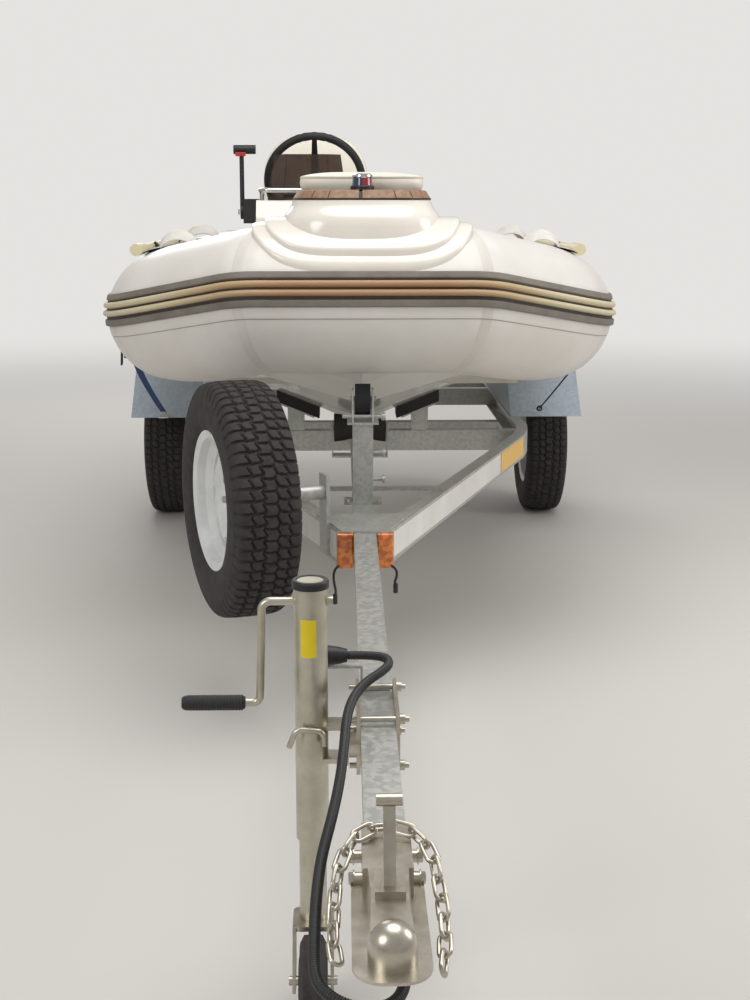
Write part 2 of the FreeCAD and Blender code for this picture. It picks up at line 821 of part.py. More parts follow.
def mudguard():
    """Flat-topped guard with sloping ends, an outer lip and an inner cheek that stands on the rail."""
    low = frame_top_z + seat_gap
    t = guard_sheet
    outer = [(guard_front_y, low), (guard_rise_y, guard_top_z), (guard_fall_y, guard_top_z), (guard_rear_y, low)]
    lean = t * 1.6
    inner = [(guard_rear_y - lean, low), (guard_fall_y - t / 2, guard_top_z - t),
             (guard_rise_y + t / 2, guard_top_z - t), (guard_front_y + lean, low)]
    drop = guard_lip
    lip = [(guard_rear_y - drop, low), (guard_fall_y - drop / 2, guard_top_z - drop),
           (guard_rise_y + drop / 2, guard_top_z - drop), (guard_front_y + drop, low)]
    x0, x1 = guard_in_x, guard_out_x
    sheet = plate([V(x0, y, z) for y, z in outer + inner], V(1, 0, 0), x1 - x0)
    edge = plate([V(x1 - t, y, z) for y, z in outer + lip], V(1, 0, 0), t)
    cheek = plate([V(x0, y, z) for y, z in outer], V(1, 0, 0), t)
    return fuse([sheet, edge, cheek])


def rear_brackets():
    """Plates across the rail ends for the rear lamps."""
    plates = []
    y = rail_end_y + seat_gap
    for side in (-1, 1):
        x0, x1 = sorted((side * (rail_x - 230), side * rail_x))
        plates.append(box(x0, x1, y, y + 6, frame_low_z, frame_top_z))
    return plates


def rear_lamps():
    lamps = []
    y = rail_end_y + 6 + 2 * seat_gap
    for side in (-1, 1):
        x0, x1 = sorted((side * (rail_x - 220), side * (rail_x - 10)))
        lamps.append(rounded_block(x0, x1, y, y + 32, frame_low_z + 5, frame_top_z - 5, 6.0))
    return lamps


# Wheels: profiles across the wheel, along its axle and out from it
bead_half = 0.72
wall_half = 0.97
wall_height = 42.0


def tyre(centre, out, width):
    w, r, b = width / 2, tyre_radius, bead_radius
    profile = [(-w * bead_half, b), (-w * wall_half, b + wall_height), (-w, b + 68), (-w * 0.93, r - 26),
               (-w * 0.8, r - 5), (-w * 0.4, r), (w * 0.4, r), (w * 0.8, r - 5), (w * 0.93, r - 26), (w, b + 68),
               (w * wall_half, b + wall_height), (w * bead_half, b)]
    return revolved(profile, centre, out, V(0, 0, 1))


def rim(centre, out, width, hub_face):
    """Steel wheel: barrel with flanges that follow the tyre's wall, dished disc with windows, hub face with holes."""
    up = V(0, 0, 1)
    w, r, b = width / 2, rim_radius, bead_radius - seat_gap
    foot = w * bead_half + 2 * seat_gap
    top = foot + w * (wall_half - bead_half) * (r - b) / wall_height
    barrel = [(-top - 5, r), (-top, r), (-foot, b), (-w * 0.5, b - 4), (-w * 0.3, b - 24), (w * 0.3, b - 24),
              (w * 0.5, b - 4), (foot, b), (top, r), (top + 5, r), (foot + 5, b - 8), (w * 0.54, b - 12),
              (w * 0.34, b - 30), (-w * 0.34, b - 30), (-w * 0.54, b - 12), (-foot - 5, b - 8)]
    h = hub_face
    disc = [(h, 27), (h, 74), (h + 20, 92), (h + 20, 118), (h + 2, b - 26), (h - 4, b - 26), (h + 14, 118),
            (h + 14, 94), (h - 7, 76), (h - 7, 27)]
    wheel = fuse([revolved(barrel, centre, out, up), revolved(disc, centre, out, up)])
    side = out.cross(up)
    for count, pitch, hole in ((8, 121.0, 18.0), (5, 56.0, 6.5)):
        for k in range(count):
            turn = 2 * math.pi * k / count
            spot = centre + (up * math.cos(turn) + side * math.sin(turn)) * pitch
            wheel = wheel.cut(rod(spot - out * 60, spot + out * 60, hole))
    return wheel


def hub(centre, out):
    """Drum and cap that turn on the stub, with the flange the wheel is bolted to."""
    bore = stub_radius + seat_gap
    profile = [(-50, bore), (-50, 62), (-6, 70), (15 - seat_gap - 7, 70), (15 - seat_gap - 7, 25), (40, 25), (50, 18),
               (50, 0), (6, 0), (6, bore)]
    return revolved(profile, centre, out, V(0, 0, 1))


# Spare wheel, its plane parallel to the starboard arm
def spare_frame():
    lean = math.atan(arm_lean)
    out = V(-math.cos(lean), -math.sin(lean), 0)
    foot = V(-arm_outer_x(spare_foot_y), spare_foot_y, spare_z)
    return foot, out, foot + out * spare_offset


spare_face = 18.0


def spare_carrier():
    foot, out, centre = spare_frame()
    along = out.cross(V(0, 0, 1))
    reach = spare_offset + spare_face - 7 - seat_gap
    low = frame_low_z + 5
    leg = Part.makeBox(60, 10, spare_z + 50 - low)
    corner = V(foot.x, foot.y, low) + out * seat_gap - along * 30
    leg.Placement = FreeCAD.Placement(corner, FreeCAD.Rotation(along, out, V(0, 0, 1), "XYZ"))
    arm = rod(foot + out * 5, foot + out * reach, 20.0)
    face = rod(foot + out * (reach - 8), foot + out * reach, 68.0)
    stud = rod(foot + out * (reach - 1), foot + out * (reach + 34), 9.0)
    return fuse([leg, arm, face, stud])


# Winch post and winch
def winch_post():
    half = post_size / 2
    z = frame_top_z + seat_gap
    pieces = [box(-half, half, post_y - half, post_y + half, z, post_top_z)]
    pieces.append(box(-half - 26, half + 26, post_y - half - 8, post_y + half + 8, z, z + 8))
    for lift in (70, 150):
        pieces.append(rod(V(half - 2, post_y, z + lift), V(half + 34, post_y, z + lift), 6.0))
        pieces.append(rod(V(half + 28, post_y, z + lift), V(half + 36, post_y, z + lift), 12.0))
    return fuse(pieces)


def winch_frame():
    """Two cheeks on a base plate, the tie bolt and the drum's shaft."""
    z = post_top_z + seat_gap
    pieces = [box(-46, 46, post_y - 45, post_y + 45, z, z + 6)]
    half = drum_width / 2 + 4
    profile = [(post_y - 44, z), (post_y + 44, z), (post_y + 26, drum_z + 30), (post_y - 26, drum_z + 30)]
    for side in (-1, 1):
        x0, x1 = sorted((side * half, side * (half + 5)))
        pieces.append(plate([V(x0, y, height) for y, height in profile], V(1, 0, 0), 5))
    pieces.append(rod(V(-60, post_y - 26, z + 22), V(60, post_y - 26, z + 22), 6.0))
    pieces.append(rod(V(54, post_y - 26, z + 22), V(66, post_y - 26, z + 22), 12.0))
    pieces.append(rod(V(-half - 12, post_y, drum_z), V(half + 12, post_y, drum_z), 8.0))
    return fuse(pieces)


def winch_drum():
    half = drum_width / 2
    bore = 8.0 + seat_gap
    profile = [(-half, bore), (-half, drum_radius), (half, drum_radius), (half, bore)]
    return revolved(profile, V(0, post_y, drum_z), V(1, 0, 0), V(0, 0, 1))


# Supports under the hull
keel_rise = math.atan2(760.0 - front_keel_z, front_roller_y - shoulder_y)
front_roller_z = front_keel_z - (roller_waist + seat_gap) / math.cos(keel_rise)
rear_roller_z = keel_z - roller_waist - seat_gap


def keel_roller(y, z):
    h, e, w = roller_half, roller_end, roller_waist
    profile = [(-h, 10.3), (-h, e), (-h * 0.66, e - 4), (-12, w), (12, w), (h * 0.66, e - 4), (h, e), (h, 10.3)]
    return revolved(profile, V(0, y, z), V(1, 0, 0), V(0, 0, 1))


def bilge_pad(y0):
    """Rubber block lying along the deadrise, under the flat part of the bottom."""
    lift = keel_z - seat_gap / math.cos(math.radians(deadrise_deg))
    a, b, t = pad_in_x, pad_out_x, pad_thickness
    profile = [(a, lift + a * slope), (b, lift + b * slope), (b, lift + b * slope - t), (a, lift + a * slope - t)]
    return plate([V(x, y0, z) for x, z in profile], V(0, 1, 0), pad_length)


pad_rows = ((front_beam_y, 885.0), (rear_beam_y, rear_beam_y - pad_length / 2))


def support_rubbers():
    rubbers = [keel_roller(front_roller_y, front_roller_z), keel_roller(rear_roller_y, rear_roller_z)]
    for beam_y, y0 in pad_rows:
        rubbers += [bilge_pad(y0), mirror(bilge_pad(y0))]
    return rubbers


def pad_bracket(beam_y, y0):
    lift = keel_z - pad_thickness - 2 * seat_gap / math.cos(math.radians(deadrise_deg))
    a, b = pad_in_x + 20, pad_out_x - 15
    profile = [(a, lift + a * slope), (b, lift + b * slope), (b, lift + b * slope - 8), (a, lift + a * slope - 8)]
    cradle = plate([V(x, y0 + 10, z) for x, z in profile], V(0, 1, 0), pad_length - 20)
    stem = plate([V(210, beam_y - 20, beam_top_z + seat_gap), V(275, beam_y - 20, beam_top_z + seat_gap),
                  V(275, beam_y - 20, lift + 275 * slope - 4), V(210, beam_y - 20, lift + 210 * slope - 4)],
                 V(0, 1, 0), 40)
    return fuse([cradle, stem])


def roller_bracket(y, z, floor):
    x = roller_half + 3
    pieces = [box(-x - 5, -x, y - 20, y + 20, floor, z + 18), box(x, x + 5, y - 20, y + 20, floor, z + 18)]
    pieces.append(rod(V(-x - 9, y, z), V(x + 9, y, z), 10.0))
    return pieces


def hull_supports():
    x = roller_half + 8
    floor = frame_top_z + seat_gap
    front = roller_bracket(front_roller_y, front_roller_z, floor)
    front.append(box(-x, x, front_roller_y - 30, front_roller_y + 30, floor, floor + 7))
    back_y = rear_beam_y + beam_width / 2 + seat_gap
    rear = [box(-x, x, back_y, back_y + 6, 445, 508)]
    for side in (-1, 1):
        x0, x1 = sorted((side * (x - 5), side * x))
        rear.append(box(x0, x1, back_y + 1, rear_roller_y + 22, 450, rear_roller_z + 18))
    rear.append(rod(V(-x - 4, rear_roller_y, rear_roller_z), V(x + 4, rear_roller_y, rear_roller_z), 10.0))
    brackets = [fuse(front), fuse(rear)]
    for beam_y, y0 in pad_rows:
        brackets += [pad_bracket(beam_y, y0), mirror(pad_bracket(beam_y, y0))]
    return brackets


# Coupler
def coupler():
    """Pressed coupler: raised shell and ball dome on a wide flange, hollow below, with its tail round the drawbar."""
    z1 = flange_z + 4
    top = frame_top_z + 8
    flange = rounded_block(-flange_half, flange_half, ball_y - flange_half, ball_y + 210, flange_z, z1, 40.0)
    wires = []
    for y, half, high in ((ball_y, dome_radius, ball_z + 18), (ball_y + 90, shell_half, top), (ball_y + 168, 32.0, top)):
        spots = [V(-half, y, flange_z), V(half, y, flange_z), V(half - 4, y, high), V(-half + 4, y, high)]
        wires.append(Part.makePolygon(spots + [spots[0]]))
    shell = Part.makeLoft(wires, True, True)
    half = drawbar_half + seat_gap + 4
    tail = box(-half, half, ball_y + 160, ball_y + 300, drawbar_low_z - 4, top)
    dome = Part.makeSphere(dome_radius, V(0, ball_y, ball_z))
    skirt = rod(V(0, ball_y, flange_z), V(0, ball_y, ball_z), dome_radius)
    rear_lip = box(-flange_half, flange_half, ball_y + 160, ball_y + 210, flange_z, z1)
    body = fuse([flange, shell, tail, dome, skirt, rear_lip])
    body = body.cut(Part.makeSphere(ball_radius + 0.5, V(0, ball_y, ball_z)))
    body = body.cut(rod(V(0, ball_y, 400), V(0, ball_y, ball_z), ball_radius + 0.5))
    body = body.cut(box(-flange_half - 1, flange_half + 1, ball_y - 80, ball_y + 100, 400, flange_z))
    gap = drawbar_half + seat_gap
    bore = box(-gap, gap, ball_y + 169, ball_y + 400, drawbar_low_z - seat_gap, frame_top_z + seat_gap)
    hollow = box(-18, 18, ball_y, ball_y + 150, flange_z - 1, top - 8)
    lever_y = ball_y + 110
    lever = plate([V(-8, lever_y - 22, top - 2), V(-8, lever_y + 18, top - 2), V(-8, lever_y + 26, top + 108),
                   V(-8, lever_y + 8, top + 108)], V(1, 0, 0), 16)
    cuff = box(-20, 20, lever_y - 34, lever_y + 30, top - 2, top + 10)
    grip = rod(V(-17, lever_y + 18, top + 112), V(17, lever_y + 18, top + 112), 9.0)
    body = fuse([body.cut(bore).cut(hollow), lever, cuff, grip])
    for y in (ball_y + 205, ball_y + 270):
        for side in (-1, 1):
            body = fuse([body, rod(V(side * half, y, 490), V(side * (half + 11), y, 490), 9.0)])
    return largest(body)


def chain_link(centre, way, across):
    """Oval link in the plane of way and across: straight sides and ends of short legs, in six-sided wire."""
    half_long = (chain_pitch + chain_wire) / 2
    half_wide = (chain_width - chain_wire) / 2
    straight = half_long - half_wide
    loop = []
    for end, turns in ((1, (90, 30, -30, -90)), (-1, (-90, -150, 150, 90))):
        for degrees in turns:
            turn = math.radians(degrees)
            reach = end * straight + half_wide * math.cos(turn)
            loop.append(centre + way * reach + across * (half_wide * math.sin(turn)))
    lift = way.cross(across)
    first = unit(loop[0] - loop[-1])
    middle = (loop[0] + loop[-1]) * 0.5
    normal = first.cross(lift)
    section = []
    for k in range(6):
        turn = math.pi / 3 * k
        section.append(middle + (normal * math.cos(turn) + lift * math.sin(turn)) * (chain_wire / 2))
    return mitred_bar(loop, section, closed=True)


chain_lie = (
    V(66, -2876, 446), V(72, -2836, 456), V(73, -2794, 474), V(70, -2752, 496), V(64, -2716, 518),
    V(52, -2684, 533), V(30, -2664, 540.6), V(2, -2658, 542.6), V(-26, -2664, 540.6), V(-50, -2684, 533),
    V(-64, -2716, 518), V(-71, -2752, 496), V(-74, -2794, 474), V(-73, -2836, 456), V(-66, -2876, 446),
)


def safety_chain():
    lengths = [0.0]
    for a, b in zip(chain_lie, chain_lie[1:]):
        lengths.append(lengths[-1] + (b - a).Length)
    spacing = chain_pitch - chain_play
    count = int(lengths[-1] / spacing)
    spots = []
    for k in range(count + 1):
        target = k * spacing
        i = max(j for j in range(len(chain_lie) - 1) if lengths[j] <= target)
        share = (target - lengths[i]) / (lengths[i + 1] - lengths[i])
        spots.append(chain_lie[i] + (chain_lie[i + 1] - chain_lie[i]) * share)
    links = []
    for k in range(count):
        way = unit(spots[k + 1] - spots[k])
        centre = (spots[k] + spots[k + 1]) * 0.5
        outward = unit(V(centre.x, 0, centre.z - 480))
        across = unit(way.cross(outward))
        turn = math.radians(45 if k % 2 else -45)
        links.append(chain_link(centre, way, across * math.cos(turn) + way.cross(across) * math.sin(turn)))
    return links


# Jockey stand
bracket_leaf = 7.0
bracket_aft = 168.0
pivot_gap_x = -drawbar_half - 20.0


def jack_bracket():
    """Clamp plates either side of the drawbar with two straps round it, and the pivot boss for the stand."""
    z0, z1 = drawbar_low_z - 22, frame_top_z + 22
    y0, y1 = jack_y - 28, jack_y + bracket_aft
    inner = drawbar_half + seat_gap
    pieces = [box(-inner - bracket_leaf, -inner, y0, y1, z0, z1), box(inner, inner + bracket_leaf, y0, y1, z0, z1)]
    for y in (y0 + 10, y1 - 24):
        for z in (frame_top_z + 12, drawbar_low_z - 12):
            pieces.append(rod(V(-inner - bracket_leaf - 12, y + 7, z), V(inner + bracket_leaf + 16, y + 7, z), 5.0))
            pieces.append(rod(V(inner + bracket_leaf - 1, y + 7, z), V(inner + bracket_leaf + 9, y + 7, z), 9.0))
    pieces.append(rod(V(pivot_gap_x, jack_y, jack_pivot_z), V(-inner - 1, jack_y, jack_pivot_z), 30.0))
    pieces.append(rod(V(pivot_gap_x - 16, jack_y, jack_pivot_z), V(-inner - 1, jack_y, jack_pivot_z), 10.0))
    return fuse(pieces)


def jack_tube():
    """Outer tube with its cap, swivel plate, pull-pin hook and crank."""
    axis = V(jack_x, jack_y, 0)
    up = V(0, 0, 1)
    body = rod(axis + up * jack_bottom_z, axis + up * jack_top_z, jack_outer_radius)
    cap = [(0, 0), (0, jack_outer_radius + 1.5), (5, jack_outer_radius + 1.5), (9, jack_outer_radius - 7), (9, 0)]
    pieces = [body, revolved(cap, axis + up * jack_top_z, up, V(1, 0, 0))]
    swivel_x = pivot_gap_x - seat_gap
    pieces.append(box(swivel_x - 9, swivel_x, jack_y - 30, jack_y + 30, jack_pivot_z - 34, jack_pivot_z + 34))
    for z in (jack_pivot_z - 34, jack_pivot_z + 26):
        pieces.append(box(jack_x, swivel_x - 1, jack_y - 22, jack_y + 22, z, z + 8))
    hook_y = jack_y - jack_outer_radius - 7
    hook_z = jack_pivot_z + 30
    hook = [V(jack_x + 22, hook_y, hook_z - 26), V(jack_x + 22, hook_y, hook_z), V(jack_x - 26, hook_y, hook_z + 4),
            V(jack_x - 38, hook_y, hook_z - 28)]
    pieces.append(bent_rod(hook, [14.0, 14.0], 5.0))
    pieces.append(box(jack_x - 6, jack_x + 6, hook_y - 2, jack_y, hook_z - 3, hook_z + 7))
    elbow = [V(jack_x, jack_y, crank_z), V(crank_arm_x, jack_y, crank_z), V(crank_arm_x - 6, jack_y, grip_z),
             V(crank_arm_x - 30, jack_y, grip_z)]
    pieces.append(bent_rod(elbow, [16.0, 12.0], 7.0))
    pieces.append(rod(V(jack_x, jack_y, crank_z), V(jack_x + 38, jack_y, crank_z), 8.0))
    whole = fuse(pieces)
    whole = whole.cut(rod(axis + up * (jack_bottom_z - 1), axis + up * (jack_top_z - 110), jack_bore_radius))
    return whole.cut(rod(V(swivel_x - 12, jack_y, jack_pivot_z), V(swivel_x + 1, jack_y, jack_pivot_z), 10.0 + seat_gap))


def jack_grip():
    x = crank_arm_x - 30 - seat_gap
    return rod(V(x - grip_length, jack_y, grip_z), V(x, jack_y, grip_z), grip_radius)


def jack_leg():
    low, high = V(jack_x, jack_y, crown_z), V(jack_x, jack_y, leg_top_z)
    return ring(low, high, jack_inner_radius, jack_inner_radius - jack_wall)


def jockey_fork():
    """Crown plate with two cheeks that carry the wheel's pin."""
    high = crown_z - seat_gap
    y_wheel = jack_y - jockey_trail
    half = jockey_width / 2 + 5
    pieces = [rounded_block(jack_x - half - 6, jack_x + half + 6, jack_y - 40, jack_y + 32, high - 9, high, 12.0)]
    profile = [(jack_y - 38, high - 1), (jack_y + 26, high - 1), (y_wheel + 16, jockey_radius - 16),
               (y_wheel - 16, jockey_radius - 16)]
    for side in (-1, 1):
        x0, x1 = sorted((jack_x + side * half, jack_x + side * (half + 6)))
        pieces.append(plate([V(x0, y, z) for y, z in profile], V(1, 0, 0), 6))
    pin_half = half + 12
    pieces.append(rod(V(jack_x - pin_half, y_wheel, jockey_radius), V(jack_x + pin_half, y_wheel, jockey_radius), 8.0))
    return fuse(pieces)


def jockey_wheel():
    h, r = jockey_width / 2, jockey_radius
    bore = 8.0 + seat_gap
    profile = [(-h, bore), (-h, 38), (-h + 5, 44), (-h + 2, r - 14), (-h + 9, r), (h - 9, r), (h - 2, r - 14),
               (h - 5, 44), (h, 38), (h, bore)]
    return revolved(profile, V(jack_x, jack_y - jockey_trail, r), V(1, 0, 0), V(0, 0, 1))


# Lighting lead
def lead_bends():
    radii = []
    for a, b, c in zip(lead_points, lead_points[1:], lead_points[2:]):
        turn = math.acos(unit(b - a).dot(unit(c - b)))
        radii.append(0.45 * min((b - a).Length, (c - b).Length) / math.tan(turn / 2))
    return radii


def lighting_lead():
    radii = lead_bends()
    lead = bent_rod(list(lead_points), radii, lead_radius)
    length = bent_path(list(lead_points), radii).Length
    print("lead length", round(length), "bend radii", [round(r) for r in radii])
    print("lead volume over section times length", round(lead.Volume / (math.pi * lead_radius ** 2 * length), 4))
    return lead


def lead_plug():
    """Plug at the lead's parked end, with the upright lug of its cap."""
    start = lead_points[0]
    way = unit(lead_points[0] - lead_points[1])
    r, length = plug_radius, plug_length
    body = revolved([(0, 0), (0, r - 8), (16, r - 4), (length - 6, r), (length, r), (length, 0)], start, way, V(0, 1, 0))
    x = start.x - length + 12
    lug = box(x - 8, x, start.y - 7, start.y + 7, start.z, start.z + r + 14)
    return fuse([body, lug])


def lead_gland():
    """Gland on the drawbar's underside, in line with the lead's last run."""
    end = lead_points[-1]
    way = unit(lead_points[-1] - lead_points[-2])
    body = rod(end, end + way * 70, 13.0)
    body = body.cut(box(-60, 60, end.y - 200, end.y + 200, drawbar_low_z - 4 - 2 * seat_gap, 700))
    return largest(body)


def plug_rest():
    """Parking bracket on the drawbar's top that the plug lies on."""
    start = lead_points[0]
    y0, y1 = start.y - 3, start.y + 18
    z = frame_top_z + seat_gap
    shelf_z = start.z - plug_radius - seat_gap
    x = drawbar_half - 2
    foot = box(-x, x - 2, y0, y1, z, z + 4)
    stem = box(-x, -x + 4, y0, y1, z, shelf_z)
    shelf = box(start.x - plug_length, -x + 4, y0, y1, shelf_z - 4, shelf_z)
    return fuse([foot, stem, shelf])


# Fittings on the collar
def grab_handles():
    """Broad strap handles arched across the top of each tube, fore and aft."""
    handles = []
    for y in (32.5, 872.5):
        centre = V(collar_x - 20, y - 26, collar_z + collar_radius - 8)
        arch = Part.makeCylinder(62, 52, centre, V(0, 1, 0)).cut(Part.makeCylinder(56, 52, centre, V(0, 1, 0)))
        arch = arch.common(box(0, 2000, y - 200, y + 200, collar_z, centre.z + 100))
        pieces = sorted(off_collar(arch).Solids, key=lambda solid: -solid.CenterOfMass.z)
        handles += [pieces[0], mirror(pieces[0])]
    return handles


def oar_point(y):
    turn = math.radians(oar_deg)
    reach = collar_radius + oar_lift
    return V(collar_x + reach * math.cos(turn), y, collar_z + reach * math.sin(turn))


def oar():
    """Stowed oar along the tube's outer shoulder: grip, shaft, and a flat blade that lies tangent to the tube."""
    start, end = oar_point(oar_front_y), oar_point(oar_blade_y)
    blade = rounded_block(-70, 70, 0, 380, -5, 5, 45.0)
    blade.Placement = FreeCAD.Placement(end - V(0, 20, 0), FreeCAD.Rotation(V(0, 1, 0), 90 - oar_deg))
    return fuse([rod(start, start + V(0, 150, 0), oar_grip_radius), rod(start, end, oar_radius), blade])


def oars():
    piece = oar()
    return [piece, mirror(piece)]


def oar_clips():
    """Clips bonded to the tube's shoulder, cut to the oar's shaft and to the tube."""
    clips = []
    for y in oar_clip_ys:
        spot = oar_point(y)
        turn = FreeCAD.Rotation(V(0, 1, 0), 90 - oar_deg)
        block = Part.makeBox(44, 40, oar_lift + 8, V(-22, -20, -oar_lift - 4))
        block.Placement = FreeCAD.Placement(spot, turn)
        block = block.cut(rod(oar_point(y - 50), oar_point(y + 50), oar_radius + seat_gap))
        clip = largest(off_collar(block))
        clips += [clip, mirror(clip)]
    return clips


def lift_eyes():
    """Eye plates on the transom's aft face."""
    eyes = []
    y = transom_back_y + seat_gap
    for side in (-1, 1):
        x = side * 280
        pieces = [box(x - 25, x + 25, y, y + 5, 925, 1005), box(x - 4, x + 4, y, y + 44, 945, 985)]
        eye = fuse(pieces).cut(rod(V(x - 10, y + 25, 965), V(x + 10, y + 25, 965), 9.0))
        eyes.append(eye)
    return eyes


def build():
    os.makedirs("parts", exist_ok=True)
    save("tube_bow", [tube_bow()])
    side = tube_port()
    save("tube_port", [side])
    save("tube_starboard", [mirror(side)])
    save("rub_strake", [rub_strake()])
    save("hull", [hull()])
    save("deck", [deck()])
    save("bow_locker", [bow_locker()])
    save("bow_cushion", [bow_cushion()])
    save("nav_lamp", [nav_lamp()])
    save("console", [console()])
    save("windscreen", [windscreen()])
    save("console_rail", [console_rail()])
    save("steering_wheel", [steering_wheel()])
    save("engine_control", [engine_control()])
    save("seat_base", [seat_base()])
    save("seat_cushions", seat_cushions())
    save("engine_bracket", [engine_bracket()])
    save("engine_swivel", [engine_swivel()])
    save("engine_cowl", [engine_cowl()])
    save("engine_leg", [engine_leg()])
    save("propeller", [propeller()])
    save("grab_handles", grab_handles())
    save("oars", oars())
    save("oar_clips", oar_clips())
    save("lift_eyes", lift_eyes())
    save("drawbar", [drawbar()])
    rail = frame_rail()
    save("rail_port", [rail])
    save("rail_starboard", [mirror(rail)])
    save("apex_plate", [apex_plate()])
    save("cross_members", cross_members() + rear_brackets())
    save("axle", [axle()])
    guard = mudguard()
    save("mudguards", [guard, mirror(guard)])
    for name, sign in (("port", 1), ("starboard", -1)):
        centre = V(sign * track_x, axle_y, tyre_radius)
        out = V(sign, 0, 0)
        save("tyre_" + name, [tyre(centre, out, tyre_width)])
        save("rim_" + name, [rim(centre, out, tyre_width, 15.0)])
        save("hub_" + name, [hub(centre, out)])
    foot, out, centre = spare_frame()
    save("spare_tyre", [tyre(centre, out, spare_width)])
    save("spare_rim", [rim(centre, out, spare_width, spare_face)])
    save("spare_carrier", [spare_carrier()])
    save("winch_post", [winch_post()])
    save("winch_frame", [winch_frame()])
    save("winch_drum", [winch_drum()])
    save("support_rubbers", support_rubbers())
    save("hull_supports", hull_supports())
    save("coupler", [coupler()])
    save("safety_chain", safety_chain())
    save("jack_bracket", [jack_bracket()])
    save("jack_tube", [jack_tube()])
    save("jack_grip", [jack_grip()])
    save("jack_leg", [jack_leg()])
    save("jockey_fork", [jockey_fork()])
    save("jockey_wheel", [jockey_wheel()])
    save("lighting_lead", [lighting_lead()])
    save("lead_ends", [lead_plug(), lead_gland()])
    save("plug_rest", [plug_rest()])
    save("marker_lamps", marker_lamps())
    save("rear_lamps", rear_lamps())


build()
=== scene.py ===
import math

import bpy
import numpy as np
from bpy.props import FloatProperty, FloatVectorProperty, IntProperty, PointerProperty
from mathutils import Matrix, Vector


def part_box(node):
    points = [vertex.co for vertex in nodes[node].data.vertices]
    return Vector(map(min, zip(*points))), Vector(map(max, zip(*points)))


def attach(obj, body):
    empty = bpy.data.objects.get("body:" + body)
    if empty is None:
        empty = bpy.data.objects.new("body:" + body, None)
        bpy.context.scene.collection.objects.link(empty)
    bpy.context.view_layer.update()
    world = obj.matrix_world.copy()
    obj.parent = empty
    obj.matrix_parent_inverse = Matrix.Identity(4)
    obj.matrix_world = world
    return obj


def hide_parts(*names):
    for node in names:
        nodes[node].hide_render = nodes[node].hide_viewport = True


bl_info = {
    "name": "Rigid inflatable boat on its trailer",
    "version": (1, 0, 0),
    "blender": (4, 5, 0),
    "location": "3D View > Sidebar > Boat",
    "description": "Dresses the packed model of a small inflatable boat standing on its road trailer",
    "category": "Object",
}

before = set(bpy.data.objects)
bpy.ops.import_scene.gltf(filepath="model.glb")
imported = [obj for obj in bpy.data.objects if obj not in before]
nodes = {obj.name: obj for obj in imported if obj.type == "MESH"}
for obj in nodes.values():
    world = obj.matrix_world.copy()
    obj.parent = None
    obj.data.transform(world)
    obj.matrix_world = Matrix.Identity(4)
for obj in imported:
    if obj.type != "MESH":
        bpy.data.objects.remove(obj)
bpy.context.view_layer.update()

# Sizes are in millimetres and angles in degrees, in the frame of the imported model
MM = 0.001
X, Y, Z = np.eye(3)

# Collar: its centre line runs from the bow's middle by two corners to the port stern
bow_x, bow_y, bow_z = 270.0, -362.5, 1115.0
leg_x, shoulder_y, stern_y, leg_z = 600.0, -32.5, 2507.5, 1040.0
collar_path = np.array([(0, bow_y, bow_z), (bow_x, bow_y, bow_z), (leg_x, shoulder_y, leg_z),
                        (leg_x, stern_y, leg_z)])
collar_radius = 215.0
cone_length = 230.0
cone_tip = 75.0
# How far either side of its mitre seam the tube bulges round the bend: shoulder, then bow corner
bend_reach = (235.0, 70.0)

# Strake: the angles about the tube between which it lies, and its four bands
strake_low, strake_high = -9.0, 17.5
strake_bands = (
    # from and to as shares of the strake's width, height, how flat the top is, paint
    (0.00, 0.21, 9.5, 8.0, 0),
    (0.30, 0.485, 15.0, 2.2, 1),
    (0.545, 0.74, 15.0, 2.2, 1),
    (0.785, 1.00, 9.5, 8.0, 0),
)

# Bow locker: plan, and the squareness of its front and back
locker_half, locker_front, locker_middle, locker_back = 236.0, -520.0, -290.0, -60.0
locker_powers = (3.2, 8.0)

# Seat, engine and wheels
seat_x = -165.0
cowl_y, cowl_z = 2722.5, 1120.3
axle_y, axle_z, track_half = 1832.5, 320.0, 846.0
stud_circle = 56.0

# Trailer arms: half width at the apex, and how it grows aft
apex_y = -817.5
apex_half = 62.0
arm_lean = 0.3593

# Jack and safety chain
jack_x, jack_y = -114.0, -2212.5
chain_wire, chain_pitch, chain_width, chain_play = 6.0, 32.0, 24.0, 2.4
chain_lie = np.array([
    (66, -2876, 446), (72, -2836, 456), (73, -2794, 474), (70, -2752, 496), (64, -2716, 518),
    (52, -2684, 533), (30, -2664, 540.6), (2, -2658, 542.6), (-26, -2664, 540.6), (-50, -2684, 533),
    (-64, -2716, 518), (-71, -2752, 496), (-74, -2794, 474), (-73, -2836, 456), (-66, -2876, 446)], float)

# Route of the lighting lead, from its plug to the gland under the drawbar
lead_points = (
    (-52, -2048, 588), (-10, -2048, 588), (19, -2068, 590), (24, -2102, 589), (8, -2136, 586),
    (-18, -2168, 581), (-41, -2218, 574), (-54, -2294, 566), (-58, -2378, 551), (-64, -2466, 531),
    (-76, -2552, 508), (-92, -2634, 482), (-98, -2714, 460), (-99, -2784, 440), (-98, -2849, 420),
    (-76, -2879, 411), (-40, -2891, 403), (-4, -2879, 398), (18, -2849, 400), (22, -2800, 410),
    (20, -2752, 430),
)


def smooth(value, low, high):
    """0 below low, 1 above high, and an S-curve between them."""
    t = np.clip((value - low) / (high - low), 0.0, 1.0)
    return t * t * (3 - 2 * t)


def unit(vector):
    """The vector, or each row of an array, at length 1."""
    vector = np.asarray(vector, float)
    return vector / np.linalg.norm(vector, axis=-1, keepdims=True)


def mirrored(points):
    """Points on the boat's other side."""
    return points * np.array([-1.0, 1.0, 1.0])


